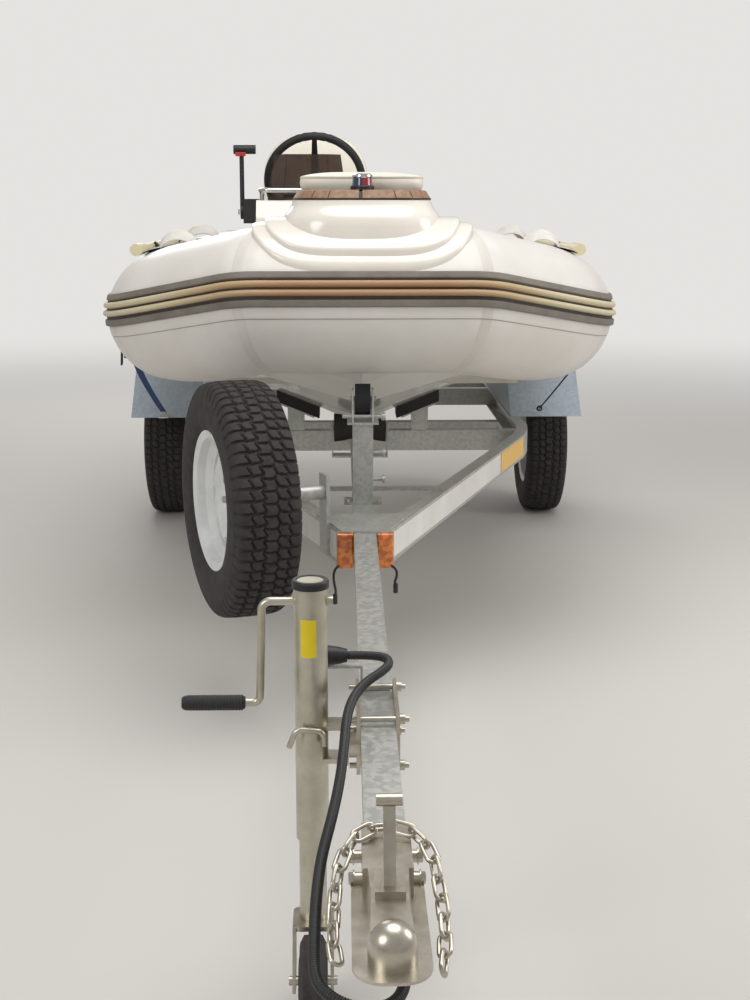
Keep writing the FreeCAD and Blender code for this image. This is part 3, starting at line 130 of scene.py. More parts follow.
def running(line):
    """Length from the start of a line to each of its points."""
    return np.concatenate([[0], np.cumsum(np.linalg.norm(np.diff(line, axis=0), axis=1))])


def at_marks(line, marks):
    """The points at the given lengths along a line."""
    lengths = running(line)
    return np.stack([np.interp(marks, lengths, line[:, k]) for k in range(3)], -1)


def node_corners(name):
    """Lowest and highest corner of a CAD piece in mm."""
    low, high = (np.array(corner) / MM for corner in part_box(name))
    return low, high


# Surfaces: a shell is (points, quads, triangles, paint of each quad, paint of each triangle)
def grid_quads(rows, cols, wrap_rows, wrap_cols):
    """Quads between neighbouring rows and columns of a grid. A wrapped direction joins its last line to its
    first."""
    row = np.arange(rows if wrap_rows else rows - 1)
    col = np.arange(cols if wrap_cols else cols - 1)
    row, col = np.meshgrid(row, col, indexing="ij")
    row_next = (row + 1) % rows
    col_next = (col + 1) % cols
    corners = [row * cols + col, row * cols + col_next, row_next * cols + col_next, row_next * cols + col]
    return np.stack(corners, -1).reshape(-1, 4)


def shell(points, wrap_rows=False, wrap_cols=True, caps=(), paint=0):
    """A surface over a (rows, columns, 3) grid. A cap closes its end row with a fan to the row's middle.
    The shell is turned so that its faces point away from what it encloses."""
    rows, cols = points.shape[:2]
    quads = grid_quads(rows, cols, wrap_rows, wrap_cols)
    verts = points.reshape(-1, 3)
    fans = []
    for row in caps:
        ring = (row % rows) * cols + np.arange(cols)
        fan = np.stack([ring, np.roll(ring, -1), np.full(cols, len(verts))], -1)
        fans.append(fan if row else fan[:, ::-1])
        verts = np.vstack([verts, points[row].mean(axis=0)])
    tris = np.concatenate(fans) if fans else np.zeros((0, 3), int)
    split = np.concatenate([quads[:, [0, 1, 2]], quads[:, [0, 2, 3]], tris])
    a, b, c = (verts[split[:, k]] - verts.mean(axis=0) for k in range(3))
    if np.einsum("ij,ij->i", a, np.cross(b, c)).sum() < 0:
        quads, tris = quads[:, ::-1], tris[:, ::-1]
    if np.ndim(paint) < 2:
        marks = np.broadcast_to(np.asarray(paint), (len(quads),))
    else:
        marks = np.asarray(paint).reshape(-1)
    return verts, quads, tris, marks, np.full(len(tris), int(marks[0]))


def mirror_shell(one):
    """The shell on the boat's other side, with its faces still outward."""
    return (mirrored(one[0]), one[1][:, ::-1], one[2][:, ::-1], one[3], one[4])


def piece(name, shells, paints, body="rig", replaces=(), sharp=35.0):
    """One object from several shells, smooth except at edges sharper than the angle in degrees. The paints
    are the finishes' keys in the order of the shells' paint numbers."""
    verts = np.concatenate([one[0] for one in shells]) * MM
    loops, sizes, marks, base = [], [], [], 0
    for points, quads, tris, quad_marks, tri_marks in shells:
        loops += [(quads + base).reshape(-1), (tris + base).reshape(-1)]
        sizes += [np.full(len(quads), 4), np.full(len(tris), 3)]
        marks += [quad_marks, tri_marks]
        base += len(points)
    loops, sizes, marks = np.concatenate(loops), np.concatenate(sizes), np.concatenate(marks)
    mesh = bpy.data.meshes.new(name)
    mesh.vertices.add(len(verts))
    mesh.vertices.foreach_set("co", verts.astype(np.float32).reshape(-1))
    mesh.loops.add(len(loops))
    mesh.loops.foreach_set("vertex_index", loops.astype(np.int32))
    mesh.polygons.add(len(sizes))
    mesh.polygons.foreach_set("loop_start", (np.cumsum(sizes) - sizes).astype(np.int32))
    mesh.polygons.foreach_set("material_index", marks.astype(np.int32))
    mesh.update(calc_edges=True)
    mesh.validate()
    mesh.polygons.foreach_set("use_smooth", np.ones(len(mesh.polygons), bool))
    mesh.set_sharp_from_angle(angle=math.radians(sharp))
    for key in paints:
        mesh.materials.append(finishes[key])
    obj = bpy.data.objects.new(name, mesh)
    bpy.context.scene.collection.objects.link(obj)
    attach(obj, body)
    if replaces:
        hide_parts(*replaces)
    return obj


def path_frames(path, closed=False):
    """Tangent and two side directions at each point, turned no more than the path turns."""
    path = np.asarray(path, float)
    along = np.roll(path, -1, 0) - np.roll(path, 1, 0) if closed else np.gradient(path, axis=0)
    along = unit(along)
    first = np.cross(along[0], Z)
    if np.linalg.norm(first) < 0.1:
        first = np.cross(along[0], X)
    sides = [unit(first)]
    for way in along[1:]:
        sides.append(unit(sides[-1] - way * (sides[-1] @ way)))
    side = np.array(sides)
    return along, side, np.cross(along, side)


def tube(path, radius, sides=14, closed=False, paint=0):
    """A circle carried along a path: path + radius (cos a side + sin a up). The radius is one number or one a
    point."""
    path = np.asarray(path, float)
    side, up = path_frames(path, closed)[1:]
    angle = np.linspace(0, 2 * np.pi, sides, endpoint=False)
    reach = np.broadcast_to(radius, (len(path),))[:, None, None]
    ring = side[:, None] * np.cos(angle)[None, :, None] + up[:, None] * np.sin(angle)[None, :, None]
    return shell(path[:, None] + ring * reach, wrap_rows=closed, caps=() if closed else (0, -1), paint=paint)


def strap(path, across, width, thick, paint=0):
    """A flat band: an oblong with softened edges carried along a path, its width along the across
    direction."""
    path = np.asarray(path, float)
    along = path_frames(path)[0]
    across = np.broadcast_to(np.asarray(across, float), along.shape)
    wide = unit(across - along * (along * across).sum(axis=1, keepdims=True))
    up = np.cross(along, wide)
    # Shares of the width and of the thickness, round the section
    section = np.array([(-0.5, -0.2), (-0.47, -0.5), (0.47, -0.5), (0.5, -0.2),
                        (0.5, 0.2), (0.47, 0.5), (-0.47, 0.5), (-0.5, 0.2)])
    width = np.broadcast_to(width, (len(path),))[:, None, None]
    ring = wide[:, None] * section[None, :, :1] * width + up[:, None] * section[None, :, 1:] * thick
    return shell(path[:, None] + ring, caps=(0, -1), paint=paint)


def revolve(profile, centre, axis, steps=48, closed=False, paint=0):
    """A profile of (along, out) pairs turned about an axis. Fans close both ends of an open profile."""
    profile = np.asarray(profile, float)
    axis = unit(axis)
    side = unit(np.cross(axis, Z if abs(axis[2]) < 0.9 else X))
    up = np.cross(axis, side)
    angle = np.linspace(0, 2 * np.pi, steps, endpoint=False)
    ring = side * np.cos(angle)[:, None] + up * np.sin(angle)[:, None]
    grid = np.asarray(centre, float) + axis * profile[:, None, :1] + ring[None] * profile[:, None, 1:]
    return shell(grid, wrap_rows=closed, caps=() if closed else (0, -1), paint=paint)


def block(low, high, edge):
    """An upright box with chamfered corners: an eight-sided outline at four levels, drawn in at the ends."""
    low, high = np.asarray(low, float), np.asarray(high, float)
    levels = ((low[2], edge), (low[2] + edge, 0.0), (high[2] - edge, 0.0), (high[2], edge))
    grid = []
    for z, inset in levels:
        x0, y0, x1, y1 = low[0] + inset, low[1] + inset, high[0] - inset, high[1] - inset
        grid.append([(x0 + edge, y0, z), (x1 - edge, y0, z), (x1, y0 + edge, z), (x1, y1 - edge, z),
                     (x1 - edge, y1, z), (x0 + edge, y1, z), (x0, y1 - edge, z), (x0, y0 + edge, z)])
    return shell(np.array(grid), caps=(0, -1))


def bolt(centre, axis, radius, height):
    """Hexagon head with a chamfered top, on a round washer."""
    washer = 1.5
    head = [(washer, radius), (height * 0.8, radius), (height, radius * 0.84)]
    plate = [(-0.5, radius * 1.35), (1.0, radius * 1.35), (washer, radius * 1.25)]
    return [revolve(head, centre, axis, 6), revolve(plate, centre, axis, 20)]


def nut_ring(centre, axis, spots, radius, height):
    """Bolts on the stud circle of a wheel, at the given shares of a turn from the top."""
    bolts = []
    for share in spots:
        angle = 2 * math.pi * share
        way = Z * math.cos(angle) + np.cross(axis, Z) * math.sin(angle)
        bolts += bolt(centre + stud_circle * way, axis, radius, height)
    return bolts


def plan(half, front, back, steps, powers, middle):
    """Closed plan outline: a superellipse whose front and back halves have their own power and length."""
    angle = np.linspace(0, 2 * np.pi, steps, endpoint=False)
    cosine, sine = np.cos(angle), np.sin(angle)
    power = np.where(sine < 0, *powers)
    reach = np.where(sine < 0, middle - front, back - middle)
    x = half * np.sign(cosine) * np.abs(cosine) ** (2 / power)
    y = middle + reach * np.sign(sine) * np.abs(sine) ** (2 / power)
    return np.stack([x, y], -1)


def level(outline, z):
    """A plan outline at a height, one number or one a point."""
    return np.column_stack([outline, np.broadcast_to(z, (len(outline),))])


def superloft(sections, steps):
    """Levels of (z, x middle, y middle, half x, half y, power), each a superellipse, from bottom to top."""
    angle = np.linspace(0, 2 * np.pi, steps, endpoint=False)
    cosine, sine = np.cos(angle), np.sin(angle)
    table = np.asarray(sections, float)[:, None, :]
    z, mid_x, mid_y, half_x, half_y, power = (table[..., k] for k in range(6))
    x = mid_x + half_x * np.sign(cosine) * np.abs(cosine) ** (2 / power)
    y = mid_y + half_y * np.sign(sine) * np.abs(sine) ** (2 / power)
    return np.stack([x, y, np.broadcast_to(z, x.shape)], -1)


# Materials
def linear(code):
    """An sRGB hex colour as linear values."""
    parts = [int(code[k:k + 2], 16) / 255 for k in (1, 3, 5)]
    return tuple(p / 12.92 if p <= 0.04045 else ((p + 0.055) / 1.055) ** 2.4 for p in parts) + (1.0,)


def add(tree, kind, settings, links=None):
    """One node with its sockets or attributes set and its feeding links made."""
    new = tree.nodes.new(kind)
    for key, value in settings.items():
        if key in new.inputs:
            new.inputs[key].default_value = value
        else:
            setattr(new, key, value)
    for key, source in (links or {}).items():
        tree.links.new(source, new.inputs[key])
    return new


def blank_material(name):
    """A material without nodes, and its node tree."""
    material = bpy.data.materials.new(name)
    material.use_nodes = True
    material.node_tree.nodes.clear()
    return material, material.node_tree


def ramp(tree, source, stops):
    """A colour ramp fed by a value; stops are (place, colour)."""
    new = add(tree, "ShaderNodeValToRGB", {}, {"Fac": source})
    elements = new.color_ramp.elements
    elements[0].position, elements[0].color = stops[0]
    elements[1].position, elements[1].color = stops[-1]
    for place, colour in stops[1:-1]:
        elements.new(place).color = colour
    return new.outputs["Color"]


def surface(tree, colour, shine, roughness, height, strength, depth, sockets=None):
    """The shader and the output. Roughness runs between two values with the shine. The height is in mm."""
    low, high = roughness
    gloss = add(tree, "ShaderNodeMapRange", {"To Min": low, "To Max": high}, {"Value": shine})
    bump = add(tree, "ShaderNodeBump", {"Strength": strength, "Distance": depth * MM}, {"Height": height})
    links = {"Base Color": colour, "Roughness": gloss.outputs["Result"], "Normal": bump.outputs["Normal"]}
    shader = add(tree, "ShaderNodeBsdfPrincipled", sockets or {}, links)
    add(tree, "ShaderNodeOutputMaterial", {}, {"Surface": shader.outputs["BSDF"]})


def finish(name, light, dark, rough, drift, grain, depth, spread=0.08, cells=False, sockets=None):
    """A surface whose colour drifts between two tones over patches of drift mm, and whose grain of grain mm
    stands depth mm high. Cells makes the patches flat, like crystals. Roughness varies by spread."""
    material, tree = blank_material(name)
    place = add(tree, "ShaderNodeTexCoord", {}).outputs["Object"]
    scale = 1 / (drift * MM)
    if cells:
        patch = add(tree, "ShaderNodeTexVoronoi", {"Scale": scale, "Randomness": 1.0}, {"Vector": place})
        value = patch.outputs["Color"]
    else:
        cloudy = {"Scale": scale, "Detail": 4.0, "Roughness": 0.6}
        value = add(tree, "ShaderNodeTexNoise", cloudy, {"Vector": place}).outputs["Fac"]
    colour = ramp(tree, value, [(0.3, linear(dark)), (0.7, linear(light))])
    fine = add(tree, "ShaderNodeTexNoise", {"Scale": 1 / (grain * MM), "Detail": 3.0}, {"Vector": place})
    surface(tree, colour, value, (rough - spread, rough + spread), fine.outputs["Fac"], 0.6, depth, sockets)
    return material


def rib_with_painted_side_highlight():
    """Tan rubber rib, lightened by Object X: tan amidships, with a painted highlight to cream beyond about
    500 mm to each side.
    """
    material, tree = blank_material("tan_rubber_painted_side_highlight")
    place = add(tree, "ShaderNodeTexCoord", {}).outputs["Object"]
    across = add(tree, "ShaderNodeSeparateXYZ", {}, {"Vector": place}).outputs["X"]
    side = add(tree, "ShaderNodeMath", {"operation": "ABSOLUTE"}, {0: across}).outputs["Value"]
    # Painted highlight: the tan lightens to cream towards the sides
    tones = ((0.22, "#B08A66"), (0.4, "#BBA07A"), (0.62, "#CFC3A4"))
    colour = ramp(tree, side, [(at, linear(code)) for at, code in tones])
    grain = add(tree, "ShaderNodeTexNoise", {"Scale": 700.0, "Detail": 3.0}, {"Vector": place}).outputs["Fac"]
    surface(tree, colour, grain, (0.42, 0.58), grain, 0.5, 0.06)
    return material


def make_finishes():
    """Every finish, keyed by the maker's word for it."""
    f = {}
    metal = {"Metallic": 1.0}
    coat = {"Coat Weight": 0.6, "Coat Roughness": 0.08}
    # Welded PVC-coated polyester: satin, a little soft, faint drift of grime, very fine cloth grain
    f["collar_fabric"] = finish("pvc_coated_fabric", "#E4E0DA", "#D9D4CC", 0.38, 260, 1.6, 0.06, 0.05,
                                sockets={"Coat Weight": 0.15, "Coat Roughness": 0.25})
    f["seam_tape"] = finish("welded_seam_tape", "#DCD7D0", "#CFC9C1", 0.42, 120, 1.6, 0.05, 0.05)
    f["seam_line"] = finish("seam_glue_line", "#A39D95", "#958F87", 0.5, 60, 1.2, 0.05)
    # Extruded rubber: matt grey with a light bloom, ribs in tan with a painted highlight to cream at the
    # sides
    f["strake_grey"] = finish("extruded_rubber_grey", "#837C73", "#6E675F", 0.55, 90, 1.2, 0.06)
    f["strake_dark"] = finish("extruded_rubber_dark", "#3E3833", "#2E2A26", 0.6, 60, 1.2, 0.06)
    f["strake_tan"] = rib_with_painted_side_highlight()
    # Hand-laid glassfibre with polished gelcoat: deep gloss, the mould's smoothness
    f["hull_gelcoat"] = finish("polished_white_gelcoat", "#E8E5DF", "#DEDBD3", 0.22, 300, 6.0, 0.02, 0.04,
                               sockets=coat)
    f["ivory_gelcoat"] = finish("polished_ivory_gelcoat", "#EDE7DD", "#E4DDD1", 0.2, 260, 6.0, 0.02, 0.04,
                                sockets=coat)
    # Gelcoat rolled with grit: dull and rough underfoot
    f["deck_gelcoat"] = finish("non_slip_gelcoat", "#D6D3CB", "#C6C2B8", 0.62, 140, 3.2, 0.5)
    # Oiled teak laid in short planks over black caulking
    f["teak"] = finish("oiled_teak", "#A78468", "#7F6049", 0.5, 14, 2.5, 0.12)
    f["caulk"] = finish("black_caulking", "#33271F", "#241B16", 0.5, 30, 2.0, 0.08)
    # Sewn marine vinyl: leather-like grain, satin
    f["cushion_vinyl"] = finish("marine_vinyl", "#EEE8DB", "#E2DACA", 0.42, 160, 1.8, 0.12,
                                sockets={"Sheen Weight": 0.08, "Sheen Roughness": 0.4})
    f["piping"] = finish("vinyl_piping", "#D9D2C2", "#CBC3B1", 0.45, 40, 1.5, 0.08)
    # Injection-moulded black plastic and the softer grip over it: spark-eroded grain
    f["black_moulding"] = finish("black_abs", "#232324", "#19191A", 0.45, 60, 1.2, 0.08)
    f["soft_grip"] = finish("black_soft_grip", "#262626", "#1B1B1B", 0.6, 40, 1.6, 0.12)
    # Cast acrylic tinted brown: smooth and half clear
    f["smoked_screen"] = finish("smoked_acrylic", "#5A4A3F", "#4C3E35", 0.08, 200, 8, 0.005, 0.02,
                                sockets={"Transmission Weight": 0.75, "IOR": 1.49})
    # Buffed stainless tube: near mirror
    f["rail_chrome"] = finish("polished_stainless", "#D8D8D8", "#C6C6C8", 0.14, 80, 3, 0.01, 0.05,
                              sockets=metal)
    # Sprayed enamel on castings and on the moulded cowl: dark, with a clear gloss
    f["engine_paint"] = finish("engine_enamel", "#3A3D41", "#303337", 0.3, 120, 3, 0.02, 0.05, sockets=coat)
    f["cowl_plastic"] = finish("painted_cowl", "#34373B", "#2B2E32", 0.24, 200, 4, 0.015, 0.04, sockets=coat)
    # Moulded strap and the pebbled rubber under it, and blow-moulded oars
    f["handle_webbing"] = finish("moulded_strap", "#E0DCD5", "#CFCAC1", 0.5, 40, 1.2, 0.12)
    f["grip_patch"] = finish("anti_slip_rubber", "#7C7874", "#625E5A", 0.8, 30, 2.2, 0.5)
    f["oar_plastic"] = finish("cream_polypropylene", "#DDD2B0", "#CFC39E", 0.45, 70, 2, 0.06)
    # Hot-dip galvanised steel: dull zinc with crystals 10 to 13 mm across under a white bloom
    f["zinc_steel"] = finish("hot_dip_galvanised", "#C4C4BF", "#B4B5B1", 0.46, 10, 2.2, 0.12, 0.08, True,
                             {"Metallic": 0.75})
    f["guard_steel"] = finish("galvanised_sheet", "#A9B2BA", "#9DA7B0", 0.48, 13, 2.2, 0.1, 0.07, True,
                              {"Metallic": 0.5})
    # Electroplated zinc: brighter and warmer, with a light drift from the bath
    f["bright_zinc"] = finish("zinc_plated_steel", "#CFC9BC", "#B3AC9E", 0.32, 35, 1.6, 0.05, 0.07,
                              sockets=metal)
    f["jack_zinc"] = finish("passivated_zinc", "#CBC7B8", "#AEA998", 0.36, 60, 1.6, 0.04, 0.07, sockets=metal)
    # Stoved white enamel on pressed wheels
    f["wheel_paint"] = finish("white_wheel_enamel", "#DFE0DE", "#CDCFCE", 0.35, 60, 2, 0.04, 0.06,
                              sockets={"Coat Weight": 0.3, "Coat Roughness": 0.2})
    # Vulcanised rubber with road dust in the grain
    f["road_tyre"] = finish("tyre_rubber", "#3B3734", "#242221", 0.82, 26, 1.8, 0.25, 0.06)
    f["pad_rubber"] = finish("black_support_rubber", "#2D2B2A", "#201F1E", 0.7, 40, 1.8, 0.15)
    f["jockey_tyre"] = finish("worn_solid_rubber", "#3F3A37", "#2A2726", 0.78, 12, 1.4, 0.3)
    # Woven polyester webbing: its ribs are drawn 1 mm apart
    f["winch_strap"] = finish("woven_black_webbing", "#242426", "#18181A", 0.8, 6, 1.0, 0.25)
    f["blue_webbing"] = finish("woven_blue_webbing", "#2A4C86", "#1D3869", 0.75, 8, 1.0, 0.25)
    # Stuck-on vinyl, reflective tape and label stock: flat and even
    f["white_strip"] = finish("white_vinyl_strip", "#E9E7E2", "#DBD8D1", 0.35, 120, 3, 0.02)
    f["yellow_tape"] = finish("reflective_yellow_tape", "#F7C41C", "#EFB008", 0.35, 9, 2.2, 0.05,
                              sockets={"Coat Weight": 0.5, "Coat Roughness": 0.1})
    f["yellow_sticker"] = finish("yellow_label_stock", "#EBD322", "#DFC418", 0.4, 60, 3, 0.02)
    # Moulded lamp lenses: prisms in cells 12 mm across, and plain coloured glass on the bow
    lens = {"Coat Weight": 1.0, "Coat Roughness": 0.05, "Subsurface Weight": 0.15}
    f["amber_lens"] = finish("prismatic_amber_lens", "#E0801E", "#B4530A", 0.25, 12, 5.0, 0.6, 0.05, True,
                             lens)
    f["red_lens"] = finish("prismatic_red_lens", "#B3201C", "#8E1311", 0.22, 12, 5.0, 0.5, 0.05, True, lens)
    clear = {"Coat Weight": 1.0, "Coat Roughness": 0.03}
    f["lamp_red"] = finish("red_lamp_glass", "#A01826", "#7A0F1C", 0.12, 20, 6, 0.02, 0.03, sockets=clear)
    f["lamp_blue"] = finish("blue_lamp_glass", "#15305C", "#0E2244", 0.12, 20, 6, 0.02, 0.03, sockets=clear)
    f["red_trim"] = finish("red_abs", "#C03436", "#A8282A", 0.35, 30, 2, 0.03)
    return f


# Filled by the first operator
finishes = {}

# The CAD pieces that stay in view, by finish
node_finishes = {
    "hull_gelcoat": ("hull",),
    "deck_gelcoat": ("deck",),
    "ivory_gelcoat": ("bow_locker", "console", "seat_base"),
    "smoked_screen": ("windscreen",),
    "rail_chrome": ("console_rail", "lift_eyes"),
    "black_moulding": ("steering_wheel", "engine_control", "oar_clips", "lead_ends"),
    "engine_paint": ("engine_bracket", "engine_swivel", "engine_leg", "propeller"),
    "cowl_plastic": ("engine_cowl",),
    "oar_plastic": ("oars",),
    "zinc_steel": ("drawbar", "rail_port", "rail_starboard", "apex_plate", "cross_members", "axle",
                   "hub_port", "hub_starboard", "spare_carrier", "winch_post", "winch_frame",
                   "hull_supports", "plug_rest"),
    "bright_zinc": ("coupler", "jack_bracket", "jockey_fork", "safety_chain"),
    "jack_zinc": ("jack_tube", "jack_leg"),
    "guard_steel": ("mudguards",),
    "wheel_paint": ("rim_port", "rim_starboard", "spare_rim"),
    "pad_rubber": ("support_rubbers",),
    "jockey_tyre": ("jockey_wheel",),
    "amber_lens": ("marker_lamps",),
    "red_lens": ("rear_lamps",),
}


# Collar and what is bonded to it
def collar_rings(theta, radius):
    """The section at the stern, and each of its points run forward along the legs to every mitre plane."""
    points = collar_path[::-1]
    ways = unit(np.diff(points, axis=0))
    planes = [ways[0], unit(ways[0] + ways[1]), unit(ways[1] + ways[2]), ways[2]]
    turn = np.radians(theta)[:, None]
    ring = points[0] + np.asarray(radius, float)[:, None] * (np.cos(turn) * X + np.sin(turn) * Z)
    rings = [ring]
    for k in range(1, 4):
        way = ways[k - 1]
        ring = ring + way * (((points[k] - ring) @ planes[k]) / (way @ planes[k]))[:, None]
        rings.append(ring)
    return np.array(rings)


def collar_grid(theta, radius):
    """Rows of points round the collar from the port stern by the bow to the starboard stern, and each row's
    distance from the nearest seam. Each line of the tube runs straight along a leg, and round a seam as the
    parabola (1-u)^2 A + 2u(1-u) C + u^2 B, with A and B on the legs and C on the mitre plane."""
    leg_rows, bend_rows, bow_rows = 29, 30, 16
    crowding = 1.6
    bow_seam_fade = 200.0
    rings = collar_rings(np.asarray(theta, float), np.broadcast_to(radius, np.shape(theta)))
    start = rings[0]
    rows, seams = [], []
    for corner, reach in zip((1, 2), bend_reach):
        back, front = unit(rings[corner - 1] - rings[corner]), unit(rings[corner + 1] - rings[corner])
        enter, leave = rings[corner] + back * reach, rings[corner] + front * reach
        share = 1 - (1 - np.linspace(0, 1, leg_rows + 1)[:-1, None, None]) ** crowding
        rows.append(start + (enter - start) * share)
        length = np.linalg.norm((enter - start).mean(axis=0))
        seams.append(reach + length * (1 - share[:, 0, 0]))
        u = np.linspace(0, 1, bend_rows + 1)[:-1, None, None]
        rows.append((1 - u) ** 2 * enter + 2 * u * (1 - u) * rings[corner] + u ** 2 * leave)
        seams.append(reach * np.abs(1 - 2 * u[:, 0, 0]))
        start = leave
    share = np.linspace(0, 1, bow_rows)[:, None, None]
    rows.append(start + (rings[3] - start) * share)
    seams.append(bend_reach[1] + share[:, 0, 0] * bow_seam_fade)
    half, seams = np.concatenate(rows), np.concatenate(seams)
    return np.concatenate([half, mirrored(half[-2::-1])]), np.concatenate([seams, seams[-2::-1]])


def collar():
    """Air-filled tube: radius plus a pull-in and a tape at each mitre seam, small folds inside the bends, a
    soft swell between the seams, and the edge of the panel that carries the strake."""
    pull, pull_width = bpy.context.scene.boat_collar.seam_pull / MM, 42.0
    tape_rise, tape_from, tape_to = 0.9, 13.0, 16.0
    fold_depth, fold_width, folds = 4.0, 75.0, 17
    swell, swells = 0.8, 3
    panel_rise = 1.1
    line_low, line_high = -18.4, -17.6
    theta = np.sort(np.append(np.linspace(-180, 177, 120), (line_low, line_high)))
    grid, seams = collar_grid(theta, collar_radius)
    lift = collar_grid(theta, collar_radius + 1.0)[0] - grid
    s = seams[:, None]
    turn = np.radians(theta)[None, :]
    inner = smooth(-np.cos(turn), -0.2, 0.8)
    crease = (0.5 + 0.5 * np.sin(turn * folds + s / 60.0)) ** 2
    offset = -pull * np.exp(-(s / pull_width) ** 2)
    offset = offset + tape_rise * (1 - smooth(s, tape_from, tape_to))
    offset = offset - fold_depth * inner * np.exp(-(s / fold_width) ** 2) * crease
    offset = offset + swell * np.sin(turn * swells + s / 210.0) * smooth(s, 20.0, 150.0)
    offset = offset + panel_rise * smooth(theta, -18.2, -17.8) * (1 - smooth(theta, 20.0, 24.0))
    taped = np.minimum(s[1:], s[:-1]) < tape_to - 1.0
    on_line = (theta >= line_low) & (theta < line_high)
    body = shell(grid + lift * offset[..., None], paint=np.where(on_line[None], 2, np.where(taped, 1, 0)))
    tail = [(0.0, collar_radius), (30.0, collar_radius - 12), (60.0, collar_radius - 30),
            (cone_length - 30, cone_tip + 24), (cone_length - 10, cone_tip + 8), (cone_length, cone_tip - 6),
            (cone_length, 20.0)]
    cone = revolve(tail, collar_path[3], Y, 96)
    low, high = collar_radius + 0.2, collar_radius + 1.2
    cuff = [(-14, low), (-13, high), (13, high), (14, low)]
    cuffs = [revolve(cuff, (leg_x, y, leg_z), Y, 96, closed=True, paint=1) for y in (2300.0, stern_y)]
    cuffs += [mirror_shell(one) for one in cuffs]
    piece("tubes", [body, cone, mirror_shell(cone)] + cuffs, ("collar_fabric", "seam_tape", "seam_line"),
          replaces=("tube_bow", "tube_port", "tube_starboard"))


def strake():
    """Section of four bands, each base + height (1 - |2t - 1|^power)^(1/2), carried round the collar."""
    base, glue = 3.5, 0.6
    steps = 10
    share, out, paints = [], [], []
    for low, high, height, power, paint in strake_bands:
        t = np.linspace(0, 1, steps + 1)
        share += list(low + (high - low) * t)
        out += list(base + (height - base) * np.sqrt(np.maximum(1 - np.abs(2 * t - 1) ** power, 0)))
        paints += [paint] * steps + [2]
    theta = strake_low + (strake_high - strake_low) * np.array(share)
    grid = collar_grid(theta, collar_radius + glue + np.array(out))[0]
    marks = np.broadcast_to(np.array(paints), (len(grid) - 1, len(paints)))
    piece("strake", [shell(grid, caps=(0, -1), paint=marks)], ("strake_grey", "strake_tan", "strake_dark"),
          replaces=("rub_strake",), sharp=50.0)


def handles():
    """Strap arches, wider at their feet, on long anti-slip patches that lie on the tubes' tops."""
    patch_rise, patch_thick = 1.6, 2.4
    handle_x, handle_z, handle_ys = 580.0, 1243.0, (32.5, 872.5)
    arch_half, arch_rise, arch_width, arch_thick = 57.0, 50.0, 56.0, 5.0
    foot_rise, foot_thick = 2.5, 4.0
    turn = np.radians(np.linspace(66, 112, 14))
    way = np.stack([np.cos(turn), 0 * turn, np.sin(turn)], -1)
    ring = (leg_x, 0, leg_z) + (collar_radius + patch_rise) * way
    top = ring[None] + np.linspace(-20, 1010, 60)[:, None, None] * Y
    base = top - way[None] * patch_thick
    shells = [shell(np.concatenate([top, base[:, ::-1]], axis=1), paint=1)]
    for y in handle_ys:
        angle = np.radians(np.linspace(-14, 194, 30))
        cosine, sine = np.cos(angle), np.sin(angle)
        path = np.stack([handle_x + arch_half * cosine, np.full(30, y), handle_z + arch_rise * sine], -1)
        lean = np.stack([0.14 * cosine, np.full(30, 0.8), 0.5 * np.abs(sine)], -1)
        shells.append(strap(path, lean, arch_width, arch_thick))
        for side in (-1, 1):
            reach = side * np.linspace(arch_half - 1, arch_half + 29, 6)
            drop = np.sqrt((collar_radius + foot_rise) ** 2 - (leg_x - handle_x - reach) ** 2)
            foot = np.stack([handle_x + reach, np.full(6, y), leg_z + drop], -1)
            shells.append(strap(foot, Y, np.linspace(64, 58, 6), foot_thick))
    shells += [mirror_shell(one) for one in shells]
    piece("strap_handles", shells, ("handle_webbing", "grip_patch"),
          replaces=("grab_handles",))


# Bow locker
def collar_top(x, y, radius):
    """Height of the bow's tube over a point: the upper root where the distance to a leg's axis is the
    radius."""
    x, y = np.abs(x), np.asarray(y, float)
    heights = []
    for start, end in ((collar_path[0], collar_path[1]), (collar_path[1], collar_path[2])):
        way = unit(end - start)
        dx, dy = x - start[0], y - start[1]
        flat = dx * way[0] + dy * way[1]
        a = 1 - way[2] ** 2
        b = -flat * way[2]
        c = dx ** 2 + dy ** 2 - flat ** 2 - radius ** 2
        root = np.maximum(b * b - a * c, 0.0)
        heights.append(start[2] + (-b + np.sqrt(root)) / a)
    plane = unit(unit(collar_path[1] - collar_path[0]) + unit(collar_path[2] - collar_path[1]))
    beyond = (x - bow_x) * plane[0] + (y - bow_y) * plane[1] + (heights[0] - bow_z) * plane[2] > 0
    return np.where(beyond, heights[1], heights[0])


def apron(half, front, back, rise):
    """A skirt that lies on the tube: the tube's surface raised by the rise, inside a plan outline, with a
    small round at its edge and an upright rim below it."""
    outline = plan(half, front, back, 120, (4.6, 5.0), locker_middle)
    middle = np.array([0.0, locker_middle])
    # Share of the outline, and how far below the raised surface
    edge = ((0.6, 0.0), (0.75, 0.0), (0.88, 0.0), (0.955, 0.0), (0.985, 0.4), (0.994, 1.4), (0.999, 3.2),
            (1.0, 5.5), (1.0, rise * 0.75), (1.0, rise * 1.25))
    rows = []
    for share, drop in edge:
        spot = middle + (outline - middle) * share
        rows.append(level(spot, collar_top(spot[:, 0], spot[:, 1], collar_radius + rise - drop)))
    return shell(np.array(rows))


def locker_grid(levels, steps, trim, spread):
    """The locker's outline at levels of (inset, height). The back edge is drawn in by the trim and by the
    spread's share of the inset."""
    rows = []
    for inset, z in levels:
        half, front, back = locker_half - inset, locker_front + inset, locker_back - trim - inset * spread
        rows.append(level(plan(half, front, back, steps, locker_powers, locker_middle), z))
    return np.array(rows)


